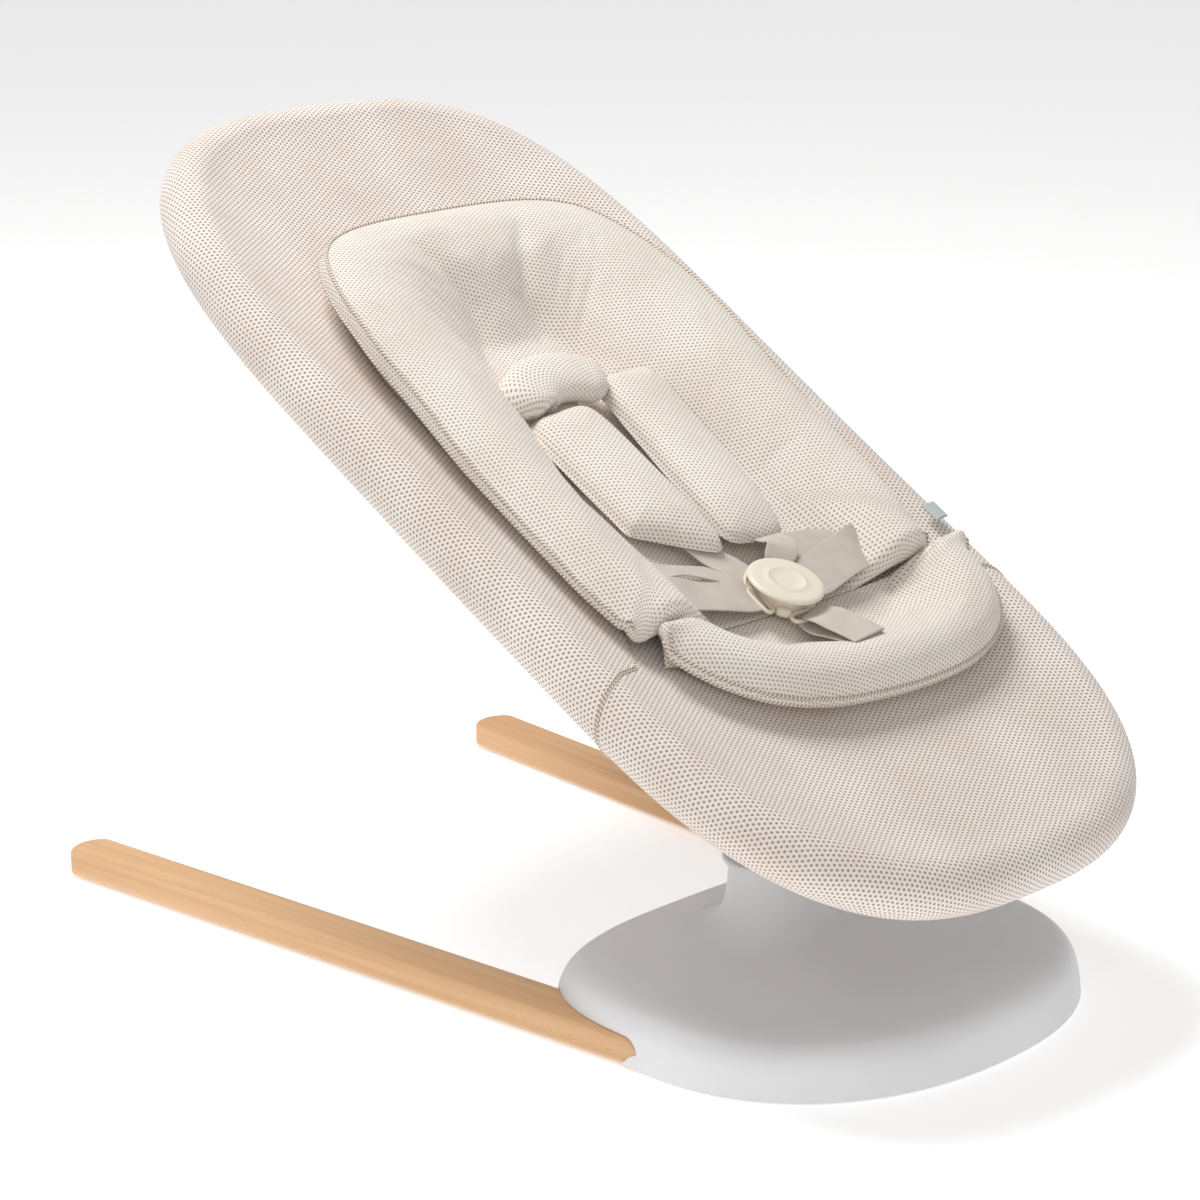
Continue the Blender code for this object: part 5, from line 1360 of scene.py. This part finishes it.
    def loops(self) -> None:
        """A moulded wire loop for each strap, round the buckle's body."""
        centre = np.array([0, 255 * MM, 15.3 * MM])
        for name, degrees in (("shoulder_tongue_left", 125), ("shoulder_tongue_right", 55),
                              ("waist_tongue_left", 180),
                              ("waist_tongue_right", 0), ("crotch_tongue", 270)):
            angle = math.radians(degrees)
            out = np.array([math.cos(angle), math.sin(angle), 0])
            across = np.array([-out[1], out[0], 0])
            turn = np.arange(48) * 2 * np.pi / 48
            ring = oval_section(4.6 * MM, 12 * MM, 3.2, 48)
            line = centre + out * (23.5 * MM + ring[:, :1]) + across * ring[:, 1:] + [0, 0, 1] * (0.8 * MM * np.cos(turn))[:, None]
            dress(rod(f"{name}_loop", SEAT.room(line), 1.5 * MM, 12, closed=True), IVORY_ACETAL, "seat", name)

    def build(self) -> None:
        """Makes the whole harness."""
        self.pad("shoulder_pad_left_loaf", (-45 * MM, 378 * MM), (60 * MM, 164 * MM), -0.02, 0.75, 7 * MM,
                 "shoulder_pad_left")
        self.pad("shoulder_pad_right_loaf", (31 * MM, 393 * MM), (61 * MM, 182 * MM), 0.11, 0.12, 0.0,
                 "shoulder_pad_right")
        self.yoke()
        self.straps()
        self.loops()


@dataclass
class Buckle:
    """The round buckle: a body with two prongs and a button with a shallow ring, both turned about its axis."""

    along: float = 255 * MM
    level: float = 10.5 * MM
    body_radius: float = 19 * MM
    body_height: float = 9.5 * MM
    button_radius: float = 28 * MM
    button_low: float = 12.8 * MM
    button_height: float = 4.2 * MM
    lean: float = math.radians(9)

    def build(self) -> None:
        """Turns the body and the button, and adds the prongs."""
        lean = self.lean
        centre = SEAT.room([0, self.along, self.level])
        axis = SEAT.direction([0, math.sin(lean), math.cos(lean)])
        r, h = self.body_radius, self.body_height
        body = np.array([(0, 1.5), (9.6, 1.5), (9.9, 1.8), (10, 2.2), (10, 9), (10.3, 9.5), (18, 9.5),
                         (18.7, 9.3),
                         (19, 8.6), (19, 0.9), (18.7, 0.2), (18, 0), (0, 0)]) * [r / 19, h / 9.5]
        dress(lathe("buckle_body_turned", body, centre, axis), IVORY_ACETAL, "seat", "buckle_body")
        low, top, radius = self.button_low, self.button_low + self.button_height, self.button_radius
        stem = 5 * MM
        ridge = 0.45 * MM
        button = np.array([
            (0, top - 0.5 * MM), (7 * MM, top - 0.5 * MM), (12.6 * MM, top - 0.45 * MM), (13.3 * MM, top - 0.35 * MM + ridge),
            (14.2 * MM, top - 0.35 * MM + ridge), (14.9 * MM, top - 0.4 * MM), (20 * MM, top - 0.3 * MM),
            (radius - 3.4 * MM, top - 0.5 * MM), (radius - 1.6 * MM, top - 0.9 * MM), (radius - 0.5 * MM,
                                                                                       top - 1.7 * MM),
            (radius, top - 2.6 * MM), (radius - 0.2 * MM, low + 0.8 * MM), (radius - 1.0 * MM,
                                                                            low + 0.1 * MM),
            (radius - 2 * MM, low), (stem + MM, low), (stem, low - 0.8 * MM), (stem, 2.2 * MM + 3 * MM),
            (0, 2.2 * MM + 3 * MM)])
        dress(lathe("buckle_button_turned", button, centre, axis), IVORY_ACETAL, "buckle_button",
              "buckle_button")
        for number, degrees in enumerate((228, 308, 90)):
            angle = math.radians(degrees)
            way = np.array([math.cos(angle), math.sin(angle), 0])
            line = np.array([0, self.along, self.level + 4.6 * MM]) + way * (np.linspace(15, 24,
                                                                                         12) * MM)[:, None]
            scale = np.sqrt(1 - np.clip((np.linspace(0, 1, 12) - 0.55) / 0.46, 0, 1) ** 2)
            grid, flat = shut(*carried(SEAT.room(line), oval_section(5.5 * MM, 3.6 * MM, 4, 28),
                                       SEAT.direction([-way[1], way[0], 0]), scale))
            dress(surface(f"buckle_prong_{number + 1}", grid, flat), IVORY_ACETAL, "seat")


# ---------------------------------------------------------------- base and legs

@dataclass
class Leg:
    """One beech leg: a rounded bar with a quarter-round top at its front and a soft rear end."""

    side: Side
    front_y: float = -45 * MM
    spacing: float = 331 * MM
    splay: float = math.radians(4.95)
    length: float = 572 * MM
    width: float = 39 * MM
    low: float = 1.8 * MM
    height: float = 19 * MM
    corner: float = 16 * MM
    edge: float = 2.6 * MM

    def grid(self, gap: float = 0.0, deeper: float = 0.0) -> Array:
        """Sections along the leg, in room coordinates.

        Args:
            gap: how much larger all round, for the notch in the base.
            deeper: how much further down, for the notch.

        Returns:
            A grid of points. Each section is a superellipse with small corners; its top follows a quarter circle at
            the front, and its half width a half ellipse at the rear.
        """
        start, end = -gap, self.length + gap
        share = (1 - np.cos(np.linspace(0, math.pi, 120))) / 2
        along = start + (end - start) * share
        half = self.width / 2 + gap
        rear = half * 0.55
        wide = half * np.sqrt(1 - np.clip((along - (end - rear)) / rear, 0, 0.997) ** 2)
        corner = self.corner + gap
        dip = corner - np.sqrt(corner**2 - np.clip(corner - (along - start), 0, corner) ** 2)
        bottom = self.low - gap - deeper
        top = self.low + self.height + gap - dip
        top = np.maximum(top, bottom + 0.2 * MM)
        section = self.section()
        across = section[None, :, 0] * np.maximum(wide[:, None] - self.edge, 0) + np.minimum(self.edge, wide)[:, None] * section[None, :, 2]
        tall = (top - bottom) / 2
        soft = np.minimum(self.edge, tall)
        up = (top + bottom)[:, None] / 2 + section[None, :, 1] * (tall - soft)[:, None] + soft[:, None] * section[None, :, 3]
        turn = -self.side.value * self.splay
        along = np.broadcast_to(along[:, None], across.shape)
        x = across * math.cos(turn) - along * math.sin(turn) + self.side.value * self.spacing / 2
        y = across * math.sin(turn) + along * math.cos(turn) + self.front_y
        return np.stack([x, y, up], -1)

    @staticmethod
    def section() -> Array:
        """A rounded rectangle as corner signs and the unit arc at each corner: (sx, sz, cx, cz) rows."""
        rows = []
        for quarter, (sx, sz) in enumerate(((1, 1), (-1, 1), (-1, -1), (1, -1))):
            arc = np.linspace(quarter, quarter + 1, 6) * np.pi / 2
            rows.append(np.column_stack([np.full(6, sx), np.full(6, sz), np.cos(arc), np.sin(arc)]))
        return np.vstack(rows)

    def build(self) -> None:
        """Makes the leg."""
        grid = self.grid()
        grid = np.concatenate([np.broadcast_to(grid[:1].mean(1, keepdims=True), grid[:1].shape), grid,
                               np.broadcast_to(grid[-1:].mean(1, keepdims=True), grid[-1:].shape)])
        piece = surface(f"leg_{self.side.word}_beech", grid)
        piece.data.set_sharp_from_angle(angle=math.radians(50))
        finish = Beech(f"steamed_beech_{self.side.word}", "beech", turn=self.side.value * self.splay)
        dress(piece, finish, "base", f"leg_{self.side.word}")

    def cutter(self) -> bpy.types.Object:
        """The leg's notch in the base, as a hidden shape."""
        grid = self.grid(0.5 * MM, 20 * MM)
        grid = np.concatenate([np.broadcast_to(grid[:1].mean(1, keepdims=True), grid[:1].shape), grid,
                               np.broadcast_to(grid[-1:].mean(1, keepdims=True), grid[-1:].shape)])
        return surface(f"notch_{self.side.word}", grid)


@dataclass
class BaseShell:
    """The moulded base: a squarish oval dish that rises into a round neck, open under both legs."""

    half_width: float = 187 * MM
    half_length: float = 157 * MM
    centre_y: float = -53 * MM
    wall: float = 3 * MM
    neck: float = 33 * MM
    columns: int = 240

    def levels(self) -> Array:
        """Rows of (half width, half length, centre y, height, roundness) from the foot of the wall to the neck."""
        rows = [(self.half_width - i * MM, self.half_length - i * MM, self.centre_y, h * MM, 0)
                for i, h in ((0, 1.8), (0.4, 5), (1, 10), (3.5, 22), (7.5, 30), (14.5, 35.5), (24, 37.5),
                             (36, 37.3))]
        w, l, foot = self.half_width - 36 * MM, self.half_length - 36 * MM, self.neck + 27 * MM
        for share, dip in ((0.35, 2.4), (0.7, 2.2)):
            rows.append((w * (1 - share) + foot * share, l * (1 - share) + foot * share,
                         self.centre_y * (1 - share),
                         37.3 * MM * (1 - share) + 38 * MM * share - dip * MM, share))
        rows += [(self.neck + r * MM, self.neck + r * MM, 0, h * MM, 1)
                 for r, h in ((27, 38), (14, 43), (5, 54), (1.5, 69), (0, 90))]
        return smooth_line(rows, 6)

    def build(self, legs: list[Leg]) -> None:
        """Makes the shell with the legs' notches cut out of it."""
        turn = np.arange(self.columns) * 2 * np.pi / self.columns
        rows = self.levels()
        rows[:, 4] = rows[:, 4].clip(0, 1)
        square = np.where(np.sin(turn) > 0, 3.0, 2.25)[None]
        power = 2 / (square + (2 - square) * rows[:, 4:5])
        c, s = np.cos(turn)[None], np.sin(turn)[None]
        x = rows[:, :1] * np.sign(c) * np.abs(c) ** power
        y = rows[:, 1:2] * np.sign(s) * np.abs(s) ** power + rows[:, 2:3]
        grid = np.stack([x, y, np.broadcast_to(rows[:, 3:4], x.shape)], -1)
        piece = surface("base_shell_moulded", grid)
        step = piece.modifiers.new("wall", "SOLIDIFY")
        step.thickness, step.offset = self.wall, -1
        tools = [leg.cutter() for leg in legs]
        for tool in tools:
            cut = piece.modifiers.new(tool.name, "BOOLEAN")
            cut.operation, cut.object, cut.solver = "DIFFERENCE", tool, "EXACT"
        graph = bpy.context.evaluated_depsgraph_get()
        done = bpy.data.meshes.new_from_object(piece.evaluated_get(graph))
        piece.modifiers.clear()
        piece.data = done
        for tool in tools:
            bpy.data.objects.remove(tool)
        done.shade_smooth()
        done.set_sharp_from_angle(angle=math.radians(38))
        dress(piece, WHITE_ABS, "base", "base_shell")


# ---------------------------------------------------------------- tag, plain parts and stage

@dataclass
class SideTag:
    """A small folded cloth tag, sewn in at the right-hand rim."""

    along: float = 281 * MM

    def build(self) -> None:
        """A ribbon folded over on itself, leaning outwards."""
        x = float(OVAL.half_width(self.along)) / MM - 5
        u = self.along / MM
        knots = [(x - 7, u, 23.2), (x - 2, u, 24.6), (x + 4, u, 24.9), (x + 6, u, 24.2), (x + 4, u, 23.6),
                 (x - 4, u, 22.9)]
        piece = ribbon("side_tag", [tuple(v * MM for v in k) for k in knots], [(0.0, 1.0, 0.0)] * 6, 16 * MM,
                       0.5 * MM)
        dress(piece, TAG, "seat", "side_label")


@dataclass
class PlainParts:
    """The frame's own parts that keep their shape: turned, cast and cut pieces with rounded edges."""

    rounded: tuple[tuple[str, Finish, float], ...] = (
        ("neck_collar", WHITE_ABS, 0.6 * MM), ("hub_cover_left", PALE_GREY_ABS, 1.2 * MM),
        ("hub_cover_right", PALE_GREY_ABS, 1.2 * MM), ("release_lever", GREY_NYLON, 0.8 * MM),
        ("bar_block_front", GREY_NYLON, 0.8 * MM), ("bar_block_rear", GREY_NYLON, 0.8 * MM),
        ("seat_carrier", CAST, 0.5 * MM), ("bar_clamp", CAST, 0.8 * MM), ("hub_yoke", CAST, 0.5 * MM),
        ("clamp_screw_left", ZINC, 0.3 * MM), ("clamp_screw_right", ZINC, 0.3 * MM),
        ("hub_cover_screw", ZINC, 0.3 * MM), ("strap_slot_left", IVORY_ACETAL, 0.8 * MM),
        ("strap_slot_right", IVORY_ACETAL, 0.8 * MM), ("centre_pad", RUBBER, 0.3 * MM),
        ("front_pad_left", RUBBER, 0.3 * MM), ("front_pad_right", RUBBER, 0.3 * MM))
    kept: tuple[tuple[str, Finish], ...] = (
        ("base_bottom", WHITE_ABS), ("leg_grip_left", RUBBER), ("leg_grip_right", RUBBER), ("support_plate",
                                                                                            ZINC),
        ("neck_post", ZINC), ("recline_axle", ZINC), ("axle_clip", ZINC), ("lever_pin",
                                                                           ZINC), ("lock_plunger", ZINC),
        ("lock_spring", ZINC), ("buckle_spring", ZINC), ("leg_screw_left_1", ZINC), ("leg_screw_left_2",
                                                                                     ZINC),
        ("leg_screw_right_1", ZINC), ("leg_screw_right_2", ZINC))

    def build(self) -> None:
        """Rounds the shown parts and gives the hidden ones their finish."""
        for name, finish, edge in self.rounded:
            refined(name, finish, edge)
        for name, finish in self.kept:
            data = frame["nodes"][name].data
            data.materials.clear()
            data.materials.append(finish.material())


@dataclass
class Stage:
    """Pale floor, soft lights and the camera."""

    azimuth: float = math.radians(-45.08)
    elevation: float = math.radians(16.59)
    camera_at: tuple[float, float, float] = (-1.7276, -1.5478, 0.9709)
    lens: float = 105.0

    def lamp(self, name: str, at: tuple, aim: tuple, size: float, power: float,
             colour: str = "#ffffff") -> None:
        """A square soft light at a place, aimed at a point."""
        data = bpy.data.lights.new(name, "AREA")
        data.shape, data.size, data.energy, data.color = "SQUARE", size, power, linear(colour)[:3]
        light = bpy.data.objects.new(name, data)
        light.location = at
        light.rotation_euler = (Vector(aim) - Vector(at)).to_track_quat("-Z", "Y").to_euler()
        bpy.context.scene.collection.objects.link(light)

    def build(self) -> None:
        """Sets the stage."""
        bpy.ops.mesh.primitive_plane_add(size=14, location=(0, 0, -0.0005))
        floor = bpy.context.object
        floor.name = "studio_floor"
        material = bpy.data.materials.new("pale_floor")
        material.use_nodes = True
        tree = material.node_tree
        shader = tree.nodes["Principled BSDF"]
        place = node(tree, "ShaderNodeTexCoord").outputs["Object"]
        cloud = node(tree, "ShaderNodeTexNoise", {"Vector": place, "Scale": 0.6}).outputs["Fac"]
        tree.links.new(ramp(tree, cloud, [(0.3, "#fdfdfd"), (0.7, "#ffffff")]), shader.inputs["Base Color"])
        shader.inputs["Roughness"].default_value = 0.9
        shader.inputs["Specular IOR Level"].default_value = 0.1
        shader.inputs["Emission Color"].default_value = linear("#ffffff")
        shader.inputs["Emission Strength"].default_value = 0.4
        floor.data.materials.append(material)
        world = bpy.data.worlds.new("studio")
        bpy.context.scene.world = world
        world.use_nodes = True
        back = world.node_tree.nodes["Background"]
        back.inputs["Color"].default_value = linear("#ffffff")
        back.inputs["Strength"].default_value = 0.4
        middle = (0.0, 0.1, 0.25)
        self.lamp("key_light", (-0.3, 1.0, 2.7), middle, 1.0, 52, "#fffefc")
        self.lamp("fill_light", (-1.8, -1.6, 1.6), middle, 1.5, 10)
        data = bpy.data.cameras.new("view")
        data.lens, data.sensor_width = self.lens, 36.0
        camera = bpy.data.objects.new("view", data)
        camera.location = self.camera_at
        back_way = Vector((math.sin(self.azimuth) * math.cos(self.elevation),
                           -math.cos(self.azimuth) * math.cos(self.elevation),
                           math.sin(self.elevation)))
        camera.rotation_euler = back_way.to_track_quat("Z", "Y").to_euler()
        bpy.context.scene.collection.objects.link(camera)
        bpy.context.scene.camera = camera
        bpy.context.scene.view_settings.view_transform = "Standard"


def main() -> None:
    """Builds the bouncer seat, from the floor up."""
    logging.basicConfig(level=logging.INFO, format="%(message)s")
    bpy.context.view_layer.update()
    Stage().build()
    legs = [Leg(side) for side in Side]
    BaseShell().build(legs)
    for leg in legs:
        leg.build()
    PlainParts().build()
    SeatFrame().build()
    SeatCover().build()
    NewbornInsert().build()
    Harness().build()
    Buckle().build()
    SideTag().build()


if __name__ == "__main__":
    main()
